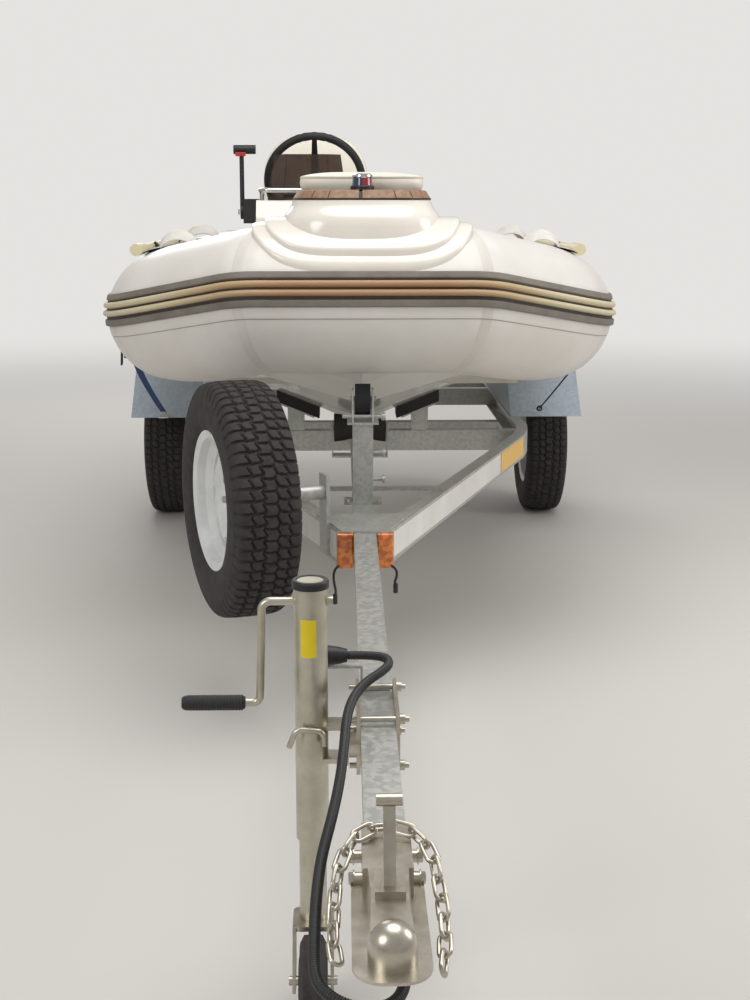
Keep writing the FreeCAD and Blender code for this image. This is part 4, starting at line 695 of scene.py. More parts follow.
def locker():
    """Round-fronted moulding: plan outlines drawn in from a waist to a rolled top rim, over two skirts. The
    rim carries short planks of teak with caulked gaps."""
    moulding = ((0, 1001), (0, 1150), (-1, 1240), (0, 1300), (2, 1330), (5, 1345), (10, 1357), (17, 1368),
                (25, 1378), (31, 1388), (34, 1398), (36, 1402), (48, 1420), (90, 1422))
    body = shell(locker_grid(moulding, 120, 0.0, 0.3), caps=(0, -1))
    aprons = [apron(half=318.0, front=-560.0, back=-40.0, rise=11.0),
              apron(half=281.0, front=-545.0, back=-50.0, rise=24.0)]
    piece("locker", [body] + aprons, ("ivory_gelcoat",), replaces=("bow_locker",),
          sharp=60.0)
    # Steps round the outline, steps to a plank, and the caulked share of a plank's last step
    steps, plank, gap = 160, 8, 0.4
    edge_levels = ((35, 1401), (33.5, 1403), (34, 1406), (37, 1406.5))
    bed_levels = ((37.5, 1404), (50, 1425), (110, 1426.5))
    plank_levels = ((38, 1404), (36.5, 1407), (49, 1427), (64, 1429.5), (66, 1426))
    edge = shell(locker_grid(edge_levels, steps, 14.0, 0.0), paint=1)
    bed = shell(locker_grid(bed_levels, steps, 16.0, 0.0), caps=(-1,), paint=1)
    rim = locker_grid(plank_levels, steps, 16.0, 0.0)
    planks = []
    for first in range(0, steps, plank):
        rows = rim[:, np.arange(first, first + plank + 1) % steps]
        rows[:, -1] = rows[:, -1] * (1 - gap) + rows[:, -2] * gap
        planks.append(shell(rows, wrap_cols=False))
    piece("teak_rim", planks + [edge, bed], ("teak", "caulk"))


# Cushions
def crowned(half_x, half_y, height, crown, corner):
    """A pad about the origin: a superellipse outline, its side a half round, its top a dome that is low at
    the rim. The sides pull in between the corners by a share of the outline."""
    steps, rings = 72, 20
    side_share, tuck, waist = 0.4, 0.05, 0.012
    rim, dome_power, rim_power = 0.985, 3.5, 0.8
    angle = np.linspace(0, 2 * np.pi, steps, endpoint=False)
    cosine, sine = np.cos(angle), np.sin(angle)
    outline = np.stack([half_x * np.sign(cosine) * np.abs(cosine) ** (2 / corner),
                        half_y * np.sign(sine) * np.abs(sine) ** (2 / corner)], -1)
    outline = outline * (1 - waist * np.cos(4 * angle))[:, None]
    rows = []
    edge = height - crown
    for t in np.linspace(0, 1, rings):
        if t < side_share:
            k = t / side_share
            share = 1 - tuck * (1 - math.sin(math.pi * k * 0.75 + 0.3))
            rows.append(level(outline * share, edge * k))
        else:
            k = (t - side_share) / (1 - side_share)
            share = math.cos(k * math.pi / 2) ** rim_power * rim
            rows.append(level(outline * share, edge + crown * (1 - share ** dome_power)))
    return np.array(rows)


def welt(rows, ring, radius):
    """A sewn cord round a pad along one of its rows of points."""
    return tube(rows[ring], radius, 8, closed=True, paint=1)


def cushions():
    """Bow lid pad, seat pad and shell-shaped backrest, each crowned and piped."""
    rim_ring, top_ring = 7, 14
    back_front_y, back_low_z = 1442.2, 1250.0
    pad = crowned(184.0, 145.0, 53.0, 14.0, 4.5) + (0.0, -230.0, 1428.6)
    lid = piece("bow_pad", [shell(pad, caps=(0, -1)), welt(pad, rim_ring, 3.0)], ("cushion_vinyl", "piping"),
                replaces=("bow_cushion",))
    seat = crowned(218.0, 157.0, 80.0, 26.0, 4.5) + (seat_x, 1191.5, 1150.6)
    upright = np.array([(1, 0, 0), (0, 0, -1), (0, 1, 0)], float)
    back = crowned(218.0, 211.0, 79.0, 30.0, 2.3) @ upright
    back[..., 0] += seat_x
    back[..., 1] = back_front_y - (back[..., 1] - back[..., 1].min())
    back[..., 2] = back[..., 2] - back[..., 2].min() + back_low_z
    shells = [shell(seat, caps=(0, -1)), welt(seat, rim_ring, 3.5), shell(back, caps=(0, -1)),
              welt(back, rim_ring, 3.5), welt(seat, top_ring, 2.2)]
    pads = piece("seat_pads", shells, ("cushion_vinyl", "piping"),
                 replaces=("seat_cushions",))


def bow_lamp():
    """Black foot, a lens that is red to port and blue to starboard, and a clear-edged cap."""
    steps = 64
    centre = (0.0, -425.0, 1428.3)
    low, high = node_corners("nav_lamp")
    r, top = (high[0] - low[0]) / 2 + 8.0, high[2] - low[2]
    foot = revolve([(0, r), (10, r), (13, r - 3), (13, r - 7)], centre, Z, steps)
    lens = revolve([(12, r - 4.5), (top - 12, r - 6.5)], centre, Z, steps)
    lens = lens[:3] + (np.where(np.arange(steps) < steps // 2, 2, 1), lens[4])
    lid = [(top - 12, r - 6), (top - 9, r - 4.5), (top - 4, r - 5.5), (top, r - 12), (top, r - 20)]
    cap = revolve(lid, centre, Z, steps, paint=3)
    piece("bow_light", [foot, lens, cap], ("black_moulding", "lamp_red", "lamp_blue", "rail_chrome"),
          replaces=("nav_lamp",))


# Helm and engine
def helm():
    """Steering wheel: a rim that swells at the grips, a dished hub and three flat spokes."""
    lean = math.radians(25.0)
    rim_radius, rim_wire, rib, ribs = 170.0, 14.0, 1.0, 36
    centre = np.array([-155.0, 677.5, 1468.0])
    axis = np.array([0.0, math.cos(lean), math.sin(lean)])
    up = np.cross(axis, X)
    turn = np.linspace(0, 2 * np.pi, 96, endpoint=False)
    path = centre + rim_radius * (np.cos(turn)[:, None] * X - np.sin(turn)[:, None] * up)
    radius = rim_wire + rib * np.cos(turn * ribs) * smooth(np.cos(turn * 3 - math.pi * 1.5), 0.1, 0.5)
    back = centre - axis * 40.0
    hub = [(-12, 30), (-12, 37), (-4, 38), (16, 36), (21, 30), (23, 20)]
    shells = [tube(path, radius, 18, closed=True), revolve(hub, back, axis)]
    # Spokes: where they leave the hub, how far out and forward they run, and how much they bow
    hub_out, hub_forward, run_out, run_forward, bow = 22.0, 6.0, 138.0, 34.0, 8.0
    t = np.linspace(0, 1, 16)[:, None]
    for degrees in (90, 210, 330):
        angle = math.radians(degrees)
        way = X * math.cos(angle) - up * math.sin(angle)
        line = back + way * (hub_out + run_out * t)
        line = line + axis * (hub_forward + run_forward * t + bow * np.sin(t * np.pi))
        shells.append(strap(line, np.cross(axis, way), np.linspace(30, 17, 16), 6.0, paint=1))
    piece("helm", shells, ("soft_grip", "black_moulding"), body="helm_wheel",
          replaces=("steering_wheel",))


def throttle():
    """Red trim lock on the throttle's grip and the chrome pivot on its housing."""
    low, high = node_corners("engine_control")
    lock = block((low[0] + 8, low[1] + 20, high[2] - 40), (low[0] + 44, low[1] + 34, high[2] - 26), 2.0)
    pivot = revolve([(0, 12), (3, 11), (5, 8)], (low[0] + 18, 600, 1360), -X, 32, paint=1)
    piece("throttle_trim", [lock, pivot], ("red_trim", "rail_chrome"))


def cowl():
    """Engine cowl: superellipse levels that swell to a waist and draw in to a domed top, with an air band."""
    steps = 72
    # Height above the pan, middle aft of the engine's axis, half x, half y, power
    shape = ((0, 25, 98, 162, 3.2), (10, 25, 104, 170, 3.2), (60, 22, 126, 200, 3.0),
             (120, 20, 144, 224, 2.9), (200, 20, 144, 223, 2.8), (290, 20, 136, 214, 2.7),
             (345, 20, 118, 186, 2.6), (380, 20, 92, 150, 2.5), (397, 20, 54, 96, 2.4),
             (400, 20, 18, 40, 2.2))
    air_band = ((128, 20, 143, 223, 2.9), (130, 20, 144.8, 224.6, 2.9), (146, 20, 144.8, 224.6, 2.9),
                (148, 20, 143, 223, 2.9))
    body, band = (superloft([(cowl_z + up, 0, cowl_y + aft, *rest) for up, aft, *rest in part], steps)
                  for part in (shape, air_band))
    piece("cowl", [shell(body, caps=(0, -1)), shell(band, paint=1)], ("cowl_plastic", "black_moulding"),
          body="engine", replaces=("engine_cowl",), sharp=60)


# Wheels
def tread_depth(turn, across):
    """1 in a groove and 0 on a block: four zigzag rings and three rows of cross slots, 63 to the round."""
    count, zigzag = 63, 0.045
    phase = turn / (2 * np.pi) * count
    zig = zigzag * (np.abs((phase % 1.0) * 2 - 1) * 2 - 1)
    depth = np.zeros(np.broadcast(turn, across).shape)
    for ring in (-0.52, -0.19, 0.19, 0.52):
        depth = np.maximum(depth, 1 - smooth(np.abs(across - ring - zig), 0.022, 0.042))
    width = np.abs(across)
    # From and to as shares of the half width, start as a share of a slot, skew
    for low, high, start, skew in ((0.0, 0.19, 0.0, 0.35), (0.19, 0.52, 0.5, -0.5), (0.52, 1.2, 0.25, 0.12)):
        gap = np.abs(((phase + start + across * skew * np.sign(across + 1e-9) + 0.5) % 1.0) - 0.5)
        inside = (width >= low) & (width < high)
        depth = np.maximum(depth, np.where(inside, 1 - smooth(gap, 0.085, 0.135), 0))
    return depth


def tyre(name, body, centre, axis, width, steps, cols, node):
    """Tyre section from bead to bead, turned about the axle, with the tread's grooves cut into it."""
    w, r, b = width / 2, 320.0, 178.0
    groove_depth, edge_depth, liner = 7.0, 2.0, 2.0
    knots = np.array([(-0.70 * w, b), (-0.84 * w, b + 7), (-0.96 * w, b + 30), (-w, b + 62),
                      (-0.985 * w, b + 88), (-0.93 * w, r - 26), (-0.86 * w, r - 9), (-0.74 * w, r - 3),
                      (-0.4 * w, r - 0.2), (0.0, r)])
    knots = np.concatenate([knots, knots[-2::-1] * (-1, 1)])
    length = running(knots)
    t = np.linspace(-1, 1, cols)
    t = (t * 0.62 + t ** 3 * 0.38 + 1) / 2 * length[-1]
    along = np.interp(t, length, knots[:, 0])
    out = np.interp(t, length, knots[:, 1])
    for _ in range(3):
        along[1:-1] = (along[:-2] + 2 * along[1:-1] + along[2:]) / 4
        out[1:-1] = (out[:-2] + 2 * out[1:-1] + out[2:]) / 4
    turn = np.linspace(0, 2 * np.pi, steps, endpoint=False)[:, None]
    share = along / w
    groove = tread_depth(turn, np.broadcast_to(share, (1, cols))) * smooth(out, r - 44, r - 30)
    wall = 0.9 * (smooth(out, b + 20, b + 23) - smooth(out, b + 27, b + 30))
    wall = wall + 0.8 * (smooth(out, b + 92, b + 94) - smooth(out, b + 98, b + 100))
    reach = out - groove_depth * groove
    side = along + np.sign(along) * (wall - edge_depth * groove * smooth(np.abs(share), 0.88, 0.95))
    axis = unit(axis)
    flat = unit(np.cross(axis, Z))
    ring = flat * np.cos(turn)[..., None] + Z * np.sin(turn)[..., None]
    grid = np.asarray(centre, float) + axis * side[..., None] + ring * reach[..., None]
    grid = np.concatenate([grid, grid[:, [-1, 0]] - ring * liner], axis=1)
    piece(name, [shell(grid, wrap_rows=True)], ("road_tyre",), body=body, replaces=(node,),
          sharp=32)


def wheels():
    """Road tyres, the spare on its leaning carrier, and their nuts."""
    settings = bpy.context.scene.boat_tyres
    nut_face = 16.0
    for side, sign in (("port", 1), ("starboard", -1)):
        centre = np.array([sign * track_half, axle_y, axle_z])
        tyre("road_tyre_" + side, "wheel_" + side, centre, sign * X, 178.0, settings.road_steps,
             settings.road_cols, "tyre_" + side)
        nuts = nut_ring(centre + sign * X * nut_face, sign * X, np.arange(5) / 5, 9.5, 14.0)
        piece("wheel_nuts_" + side, nuts, ("bright_zinc",), body="wheel_" + side)
    carrier_y, carrier_z, carrier_reach, carrier_face = -697.0, 610.0, 252.0, 18.5
    lean = math.atan(arm_lean)
    out = np.array([-math.cos(lean), -math.sin(lean), 0.0])
    centre = np.array([-arm_x(carrier_y), carrier_y, carrier_z]) + out * carrier_reach
    tyre("spare_road_tyre", "rig", centre, out, 185.0, settings.spare_steps, settings.spare_cols,
         "spare_tyre")
    nuts = nut_ring(centre + out * carrier_face, out, (0.1, 0.6), 10.0, 13.0)
    piece("spare_nuts", nuts, ("bright_zinc",))


# Trailer trim
def arm_x(y):
    """Half width of the trailer's arms at a place along it."""
    return apex_half + (y - apex_y) * arm_lean


def strips():
    """Blank vinyl strips along the arms' outer faces and reflective tape ahead of the bends."""
    low_z = 440.0
    half_thick, bevel = 0.5, 0.4
    shells = []
    outward = unit(np.array([1.0, -arm_lean, 0.0]))
    for low_y, high_y, high_z, paint in ((-785.0, 420.0, 511.0, 0), (430.0, 775.0, 512.0, 1)):
        y = np.linspace(low_y, high_y, 12)
        line = np.stack([arm_x(y), y, np.zeros(12)], -1)
        edges = ((low_z, -half_thick), (low_z + bevel, half_thick), (high_z - bevel, half_thick),
                 (high_z, -half_thick))
        rows = [line + outward * out + Z * z for z, out in edges]
        one = shell(np.array(rows), wrap_cols=False, paint=paint)
        shells += [one, mirror_shell(one)]
    piece("arm_strips", shells, ("white_strip", "yellow_tape"))


def fasteners():
    """Bolts on the apex plate, the coupler, the cross beams and the winch post's foot."""
    places = (
        # x to port, y, z, the way the head faces to port, radius, height
        (39.0, -820.0, 508.0, -Y, 5.0, 5.0),
        (45.3, -2712.5, 490.0, X, 9.0, 8.0),
        (45.3, -2647.5, 490.0, X, 9.0, 8.0),
        (560.0, 932.5, 520.4, Z, 7.0, 6.0),
        (560.0, 962.5, 520.4, Z, 7.0, 6.0),
        (46.0, -452.5, 528.4, Z, 6.5, 6.0),
    )
    shells = []
    for side in (-1, 1):
        for x, y, z, way, radius, height in places:
            shells += bolt((side * x, y, z), way * (side, 1, 1), radius, height)
    piece("frame_bolts", shells, ("bright_zinc",))


def winch():
    """Wound strap: a roll whose edge shows its turns as fine rings, between the cheeks."""
    half, core, r, turns = 22.5, 12.0, 45.0, 24
    out = np.linspace(core, r, turns)
    rim = [(half - 0.5 * (k % 2), o) for k, o in enumerate(out)]
    other = [(-half + 0.5 * (k % 2), o) for k, o in enumerate(out)][::-1]
    crown = [(half - 3 * t, r) for t in (1, 3, 5, 7, 9, 11, 13)]
    roll = revolve(rim + crown + other, (0, -422.5, 830.0), X, 72, closed=True)
    piece("strap_roll", [roll], ("winch_strap",), body="drum", replaces=("winch_drum",))


# Front end
def chain():
    """Oval links of round wire along the chain's lie, each turned a right angle from the last."""
    spacing = chain_pitch - chain_play
    count = int(running(chain_lie)[-1] / spacing)
    spots = at_marks(chain_lie, np.arange(count + 1) * spacing)
    half_wide = (chain_width - chain_wire) / 2
    straight = (chain_pitch + chain_wire) / 2 - half_wide
    drawbar_z = 480.0
    turn = np.linspace(0, 2 * np.pi, 40, endpoint=False)
    cosine = np.cos(turn)
    along = np.sign(cosine) * straight * np.minimum(1.0, np.abs(cosine) * 4) + half_wide * cosine
    shells = []
    for k in range(count):
        way = unit(spots[k + 1] - spots[k])
        centre = (spots[k] + spots[k + 1]) / 2
        across = unit(np.cross(way, np.array([centre[0], 0.0, centre[2] - drawbar_z])))
        lift = np.cross(way, across)
        tip = math.radians(45 if k % 2 else -45)
        wide = across * math.cos(tip) + lift * math.sin(tip)
        loop = centre + way * along[:, None] + wide * (half_wide * np.sin(turn))[:, None]
        shells.append(tube(loop, chain_wire / 2, 12, closed=True))
    piece("chain", shells, ("bright_zinc",), replaces=("safety_chain",), sharp=80)


def jack_trim():
    """Ribbed crank grip, blank label and the cap's rolled rim on the stand's tube."""
    grip_radius, rib, rib_pitch, taper = 12.6, 1.2, 5.2, 0.25
    low, high = node_corners("jack_grip")
    middle = (low + high) / 2
    along = np.linspace(low[0] + 1, high[0] - 1, 90)
    ripple = 0.5 + 0.5 * np.cos((along - low[0]) / rib_pitch * 2 * np.pi)
    ribs = grip_radius + rib * ripple * smooth(along, low[0] + 8, low[0] + 12)
    ribs = ribs * (1 - taper * smooth(np.abs(along - middle[0]), 48, 55))
    path = np.stack([along, np.full(90, middle[1]), np.full(90, middle[2])], -1)
    piece("crank_grip", [tube(path, ribs, 20)], ("soft_grip",), body="jack",
          replaces=("jack_grip",), sharp=60)
    cap = [(-4, 28.0), (-4, 31.5), (7, 31.8), (10, 29.5), (10, 24.0), (8, 23.0)]
    rim = revolve(cap, (jack_x, jack_y, 768.0), Z, closed=True)
    piece("cap_rim", [rim], ("black_moulding",), body="jack")
    theta = np.radians(np.linspace(-125, -70, 16))
    rows = [np.stack([jack_x + r * np.cos(theta), jack_y + r * np.sin(theta), np.full(16, z)], -1)
            for z, r in ((648.0, 28.4), (648.3, 28.9), (713.7, 28.9), (714.0, 28.4))]
    piece("blank_label", [shell(np.array(rows), wrap_cols=False)], ("yellow_sticker",), body="jack")


# Cords and straps
def cord_line(name, route):
    """A cord's smooth line in mm: a NURBS spline on the route's control points, read back as a line."""
    curve = bpy.data.curves.new(name, "CURVE")
    curve.dimensions = "3D"
    spline = curve.splines.new("NURBS")
    spline.points.add(len(route) - 1)
    for point, place in zip(spline.points, route):
        point.co = tuple(v * MM for v in place) + (1.0,)
    spline.order_u = 3
    spline.use_endpoint_u = True
    spline.resolution_u = 12
    holder = bpy.data.objects.new(name, curve)
    mesh = bpy.data.meshes.new_from_object(holder)
    line = np.array([v.co for v in mesh.vertices]) / MM
    bpy.data.objects.remove(holder)
    bpy.data.meshes.remove(mesh)
    return line


def evenly(line, step):
    """The same line with points every step mm, and its length."""
    length = running(line)[-1]
    return at_marks(line, np.linspace(0, length, int(length / step) + 1)), length


def lead():
    """Corrugated conduit: a tube whose radius rises and falls once every 4 mm along the lead."""
    mean_radius, rib, rib_pitch = 7.9, 0.6, 4.0
    line, length = evenly(cord_line("lead_line", lead_points[::-1]), 1.0)
    marks = np.linspace(0, length, len(line))
    radius = mean_radius + rib * np.cos(marks / rib_pitch * 2 * np.pi)
    conduit = piece("conduit", [tube(line, radius, 14)], ("black_moulding",),
                    replaces=("lighting_lead",), sharp=80)


def over_tube(side, ends):
    """A tie-down's route in mm: from the fore handle over the tube on that side and under it, to its ends."""
    lift = 4.0
    route = []
    for degrees, y in ((96, 70), (70, 120), (40, 180), (5, 222), (-20, 232), (-38, 245)):
        turn = math.radians(degrees)
        reach = collar_radius + lift
        route.append((side * (leg_x + reach * math.cos(turn)), y, leg_z + reach * math.sin(turn)))
    return route + ends


def webbing_strap():
    """Blue webbing with a cam buckle and a wire hook, from the starboard handle to the mudguard's edge."""
    line = evenly(cord_line("webbing_line", over_tube(-1, [(-797, 700, 730), (-800, 1226, 548)])), 12.0)[0]
    away = line - np.stack([np.sign(line[:, 0]) * leg_x, line[:, 1], np.full(len(line), leg_z)], -1)
    free = smooth(line[:, 1:2], 250.0, 420.0)
    across = unit(np.cross(path_frames(line)[0], unit(away))) * (1 - free) + X * free
    buckle_y = 262
    start = line[np.argmin(np.abs(line[:, 1] - buckle_y))]
    ends = np.array([start + (-8, -6, 26), start + (-8, 2, -34)])
    body = strap(np.linspace(ends[0], ends[1], 6), Y, 34.0, 16.0)
    lever = strap(np.linspace(ends[0] + (-14, 0, -4), ends[1] + (-20, 4, -26), 6), Y, 24.0, 5.0)
    corners = line[-1] + np.array([(0, 0, 6), (-20, 2, -26), (20, 2, -26)])
    loop = np.concatenate([np.linspace(corners[k], corners[(k + 1) % 3], 9)[:-1] for k in range(3)])
    hook = tube(loop, 3.0, 10, closed=True, paint=1)
    fittings = piece("webbing_buckle", [body, lever, hook], ("black_moulding", "bright_zinc"))
    webbing = piece("webbing", [strap(line, across, 24.0, 2.2)], ("blue_webbing",))


def black_lashing():
    """Thin black cord from the port handle to a double knot at the mudguard's front edge."""
    line = evenly(cord_line("lashing_line", over_tube(1, [(770, 760, 720), (757, 1228, 556)])), 8.0)[0]
    turns = (np.linspace(0, 2 * np.pi, 24, endpoint=False) + k for k in (0.0, 1.1))
    eights = (9 * np.stack([np.cos(t), 0.4 * np.sin(2 * t), np.sin(t)], -1) for t in turns)
    loops = [tube(line[-1] + eight, 3.6, 10, closed=True) for eight in eights]
    knot = piece("lashing_knot", loops, ("winch_strap",))
    cord = piece("lashing", [tube(line, 2.8, 10)], ("winch_strap",))


def lamp_tails():
    """Short black cables that hang from the marker lamps' outer lower corners, each with a round plug."""
    aft_y, top_z = -846, 436
    for side_name, side, drop in (("starboard", -1, 92.0), ("port", 1, 62.0)):
        route = [(side * 70, aft_y + 7, top_z), (side * 84, aft_y, top_z - 8),
                 (side * 86, aft_y, top_z - drop * 0.45), (side * 78, aft_y, top_z - drop * 0.8),
                 (side * 82, aft_y, top_z - drop)]
        line, length = evenly(cord_line("tail_line_" + side_name, route), 3.0)
        end = revolve([(-14, 5.0), (-12, 6.5), (10, 6.5), (14, 4.5)], line[-1], Z, 20)
        plug = piece("tail_plug_" + side_name, [end], ("black_moulding",))
        tail = piece("tail_" + side_name, [tube(line, 3.5, 12)], ("black_moulding",))


# Stage
def floor():
    """Pale floor that fades to the backdrop's colour far away, where only the camera sees it."""
    settings = bpy.context.scene.boat_stage
    half_size = 300.0
    fade_from, fade_to = 2.6, 11.0
    material, tree = blank_material("pale_floor")
    near = add(tree, "ShaderNodeBsdfPrincipled", {"Base Color": tuple(settings.floor_colour) + (1.0,),
                                                  "Roughness": 0.8})
    place = add(tree, "ShaderNodeTexCoord", {}).outputs["Object"]
    away = add(tree, "ShaderNodeVectorMath", {"operation": "LENGTH"}, {0: place}).outputs["Value"]
    fade = add(tree, "ShaderNodeMapRange",
               {"interpolation_type": "SMOOTHSTEP", "From Min": fade_from, "From Max": fade_to},
               {"Value": away}).outputs["Result"]
    direct = add(tree, "ShaderNodeLightPath", {}).outputs["Is Camera Ray"]
    share = add(tree, "ShaderNodeMath", {"operation": "MULTIPLY"}, {0: fade, 1: direct}).outputs["Value"]
    haze = add(tree, "ShaderNodeEmission", {"Color": tuple(settings.backdrop) + (1.0,), "Strength": 1.0})
    blend = add(tree, "ShaderNodeMixShader", {},
                {"Fac": share, 1: near.outputs["BSDF"], 2: haze.outputs["Emission"]})
    add(tree, "ShaderNodeOutputMaterial", {}, {"Surface": blend.outputs["Shader"]})
    mesh = bpy.data.meshes.new("floor")
    corners = [(x * half_size, y * half_size, 0) for x, y in ((-1, -1), (1, -1), (1, 1), (-1, 1))]
    mesh.from_pydata(corners, [], [(0, 1, 2, 3)])
    mesh.materials.append(material)
    plane = bpy.data.objects.new("floor", mesh)
    bpy.context.scene.collection.objects.link(plane)


def backdrop():
    """Even light from all round, and the backdrop's own colour where the camera looks past the floor."""
    settings = bpy.context.scene.boat_stage
    world = bpy.data.worlds.new("studio")
    bpy.context.scene.world = world
    world.use_nodes = True
    tree = world.node_tree
    tree.nodes.clear()
    even = add(tree, "ShaderNodeBackground", {"Color": (0.93, 0.92, 0.9, 1.0), "Strength": settings.sky})
    seen = add(tree, "ShaderNodeBackground", {"Color": tuple(settings.backdrop) + (1.0,), "Strength": 1.0})
    direct = add(tree, "ShaderNodeLightPath", {}).outputs["Is Camera Ray"]
    mix = add(tree, "ShaderNodeMixShader", {},
              {"Fac": direct, 1: even.outputs["Background"], 2: seen.outputs["Background"]})
    add(tree, "ShaderNodeOutputWorld", {}, {"Surface": mix.outputs["Shader"]})


def lights():
    """Soft round lamps, placed in metres."""
    settings = bpy.context.scene.boat_stage
    lamps = (
        # name, place, aim, size, power
        ("overhead", (0.4, -1.2, 4.6), (0, -0.6, 0.6), 3.6, settings.overhead),
        ("front_left", (-3.2, -4.6, 3.2), (0, -1.0, 0.9), 2.2, settings.front),
        ("right_fill", (4.2, -1.0, 2.6), (0, 0.0, 0.8), 2.4, settings.fill),
        ("stern_fill", (-1.5, 5.5, 3.4), (0, 1.5, 0.8), 2.6, settings.fill),
    )
    for name, place, aim, size, power in lamps:
        data = bpy.data.lights.new(name, "AREA")
        data.shape = "DISK"
        data.size = size
        data.energy = power
        lamp = bpy.data.objects.new(name, data)
        bpy.context.scene.collection.objects.link(lamp)
        toward = unit(np.array(aim) - np.array(place))
        lamp.location = place
        lamp.rotation_euler = (math.acos(-toward[2]), 0.0, math.atan2(-toward[0], toward[1]))


def camera():
    """The camera of the reference view, placed in metres."""
    data = bpy.data.cameras.new("view")
    data.lens = bpy.context.scene.boat_stage.lens
    data.sensor_width = 36.0
    data.clip_end = 200.0
    view = bpy.data.objects.new("view", data)
    bpy.context.scene.collection.objects.link(view)
    view.location = (-0.057, -4.4625, 1.400)
    view.rotation_euler = (math.radians(77.8), 0.0, math.radians(-1.32))
    bpy.context.scene.camera = view
    bpy.context.scene.view_settings.view_transform = "Standard"


# The add-on's settings
class BoatCollarSettings(bpy.types.PropertyGroup):
    """Sizes of the collar's looks."""
    seam_pull: FloatProperty(name="Seam pull-in", description="How far a mitre seam draws the fabric in",
                             default=0.0028, unit="LENGTH")


class BoatTyreSettings(bpy.types.PropertyGroup):
    """Fineness of the tyres."""
    road_steps: IntProperty(name="Road tyre steps", description="Points round a road tyre", default=378)
    road_cols: IntProperty(name="Road tyre columns", description="Points across a road tyre", default=76)
    spare_steps: IntProperty(name="Spare tyre steps", description="Points round the spare tyre", default=756)
    spare_cols: IntProperty(name="Spare tyre columns", description="Points across the spare", default=104)


class BoatStageSettings(bpy.types.PropertyGroup):
    """Light and view."""
    floor_colour: FloatVectorProperty(name="Floor", description="Colour of the floor", size=3,
                                      subtype="COLOR", default=(0.62, 0.60, 0.57))
    backdrop: FloatVectorProperty(name="Backdrop", description="Colour behind the floor", size=3,
                                  subtype="COLOR", default=(0.78, 0.77, 0.75))
    sky: FloatProperty(name="Sky", description="Strength of the even light", default=0.5)
    overhead: FloatProperty(name="Overhead lamp", description="Power in watts", default=105.0, unit="POWER")
    front: FloatProperty(name="Front lamp", description="Power in watts", default=62.0, unit="POWER")
    fill: FloatProperty(name="Fill lamps", description="Power in watts", default=60.0, unit="POWER")
    lens: FloatProperty(name="Lens", description="Focal length in millimetres", default=49.9)


class BOAT_OT_finishes(bpy.types.Operator):
    """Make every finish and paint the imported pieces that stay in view"""
    bl_idname = "boat.finishes"
    bl_label = "Finishes"

    def execute(self, context):
        finishes.update(make_finishes())
        for key, names in node_finishes.items():
            for name in names:
                slots = nodes[name].data.materials
                slots.clear()
                slots.append(finishes[key])
        return {"FINISHED"}


class BOAT_OT_stage(bpy.types.Operator):
    """Set up the floor, the lamps and the camera"""
    bl_idname = "boat.stage"
    bl_label = "Stage"

    def execute(self, context):
        floor()
        backdrop()
        lights()
        camera()
        return {"FINISHED"}


class BOAT_OT_front(bpy.types.Operator):
    """Make the safety chain, the stand's trim and the lighting lead"""
    bl_idname = "boat.front"
    bl_label = "Front end"

    def execute(self, context):
        chain()
        jack_trim()
        lead()
        lamp_tails()
        return {"FINISHED"}


class BOAT_OT_collar(bpy.types.Operator):
    """Make the air-filled tubes with their seams, and the rubbing strake"""
    bl_idname = "boat.collar"
    bl_label = "Collar and strake"

    def execute(self, context):
        collar()
        strake()
        return {"FINISHED"}


class BOAT_OT_handles(bpy.types.Operator):
    """Make the strap handles on their patches"""
    bl_idname = "boat.handles"
    bl_label = "Handles"

    def execute(self, context):
        handles()
        return {"FINISHED"}


class BOAT_OT_locker(bpy.types.Operator):
    """Make the bow locker, its teak rim and its lamp"""
    bl_idname = "boat.locker"
    bl_label = "Bow locker"

    def execute(self, context):
        locker()
        bow_lamp()
        return {"FINISHED"}


class BOAT_OT_cushions(bpy.types.Operator):
    """Make the bow pad, the seat pad and the backrest"""
    bl_idname = "boat.cushions"
    bl_label = "Cushions"

    def execute(self, context):
        cushions()
        return {"FINISHED"}


class BOAT_OT_helm(bpy.types.Operator):
    """Make the steering wheel and the throttle's trim"""
    bl_idname = "boat.helm"
    bl_label = "Helm"

    def execute(self, context):
        helm()
        throttle()
        return {"FINISHED"}


class BOAT_OT_engine(bpy.types.Operator):
    """Make the engine's cowl"""
    bl_idname = "boat.engine"
    bl_label = "Engine cowl"

    def execute(self, context):
        cowl()
        return {"FINISHED"}


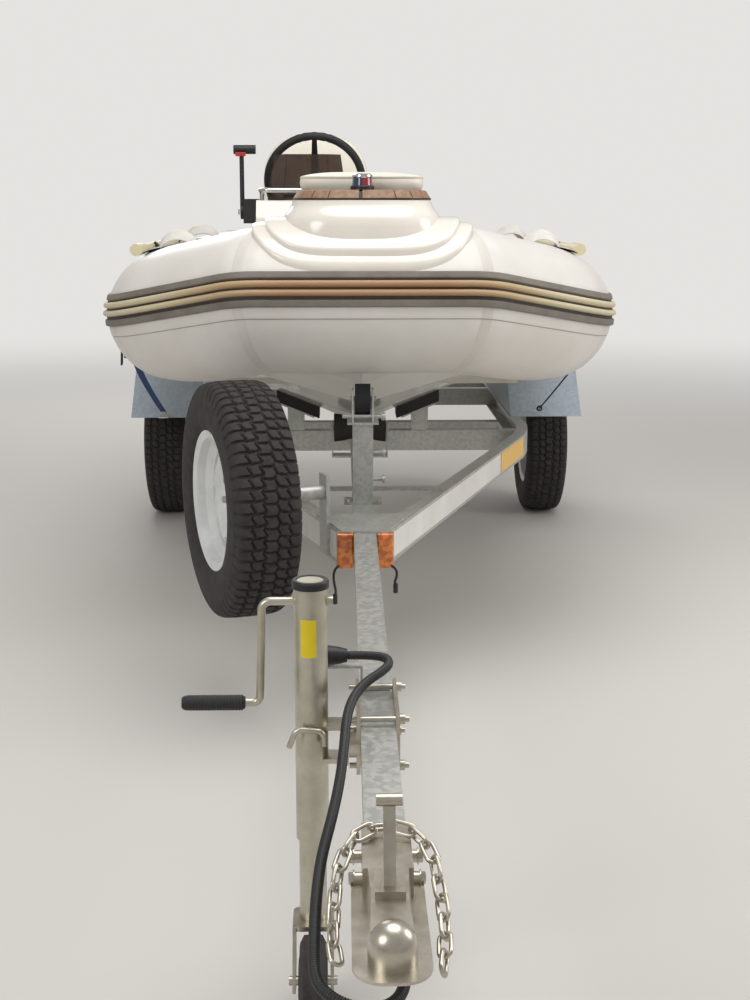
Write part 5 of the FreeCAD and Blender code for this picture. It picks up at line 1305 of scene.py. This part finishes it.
class BOAT_OT_wheels(bpy.types.Operator):
    """Make the tyres with their tread, and the wheel nuts"""
    bl_idname = "boat.wheels"
    bl_label = "Tyres and nuts"

    def execute(self, context):
        wheels()
        return {"FINISHED"}


class BOAT_OT_trim(bpy.types.Operator):
    """Make the frame's strips and bolts, the winch's roll and the tie-downs"""
    bl_idname = "boat.trim"
    bl_label = "Trailer trim"

    def execute(self, context):
        strips()
        fasteners()
        winch()
        webbing_strap()
        black_lashing()
        return {"FINISHED"}


class BOAT_PT_panel(bpy.types.Panel):
    """The steps in the order in which they run, and their settings"""
    bl_label = "Inflatable boat"
    bl_idname = "BOAT_PT_panel"
    bl_space_type = "VIEW_3D"
    bl_region_type = "UI"
    bl_category = "Boat"

    def draw(self, context):
        for step in steps:
            self.layout.operator(step.bl_idname)
        for name, group in setting_groups:
            for key in group.__annotations__:
                self.layout.prop(getattr(context.scene, name), key)


steps = (BOAT_OT_finishes, BOAT_OT_stage, BOAT_OT_front, BOAT_OT_collar, BOAT_OT_handles, BOAT_OT_locker,
         BOAT_OT_cushions, BOAT_OT_helm, BOAT_OT_engine, BOAT_OT_wheels, BOAT_OT_trim)
setting_groups = (("boat_collar", BoatCollarSettings), ("boat_tyres", BoatTyreSettings),
                  ("boat_stage", BoatStageSettings))


def register():
    for name, group in setting_groups:
        bpy.utils.register_class(group)
        setattr(bpy.types.Scene, name, PointerProperty(type=group))
    for step in steps + (BOAT_PT_panel,):
        bpy.utils.register_class(step)


def unregister():
    for step in (BOAT_PT_panel,) + steps[::-1]:
        bpy.utils.unregister_class(step)
    for name, group in setting_groups:
        delattr(bpy.types.Scene, name)
        bpy.utils.unregister_class(group)


def main():
    register()
    bpy.ops.boat.finishes()
    bpy.ops.boat.stage()
    bpy.ops.boat.front()
    bpy.ops.boat.collar()
    bpy.ops.boat.handles()
    bpy.ops.boat.locker()
    bpy.ops.boat.cushions()
    bpy.ops.boat.helm()
    bpy.ops.boat.engine()
    bpy.ops.boat.wheels()
    bpy.ops.boat.trim()


if __name__ == "__main__":
    main()
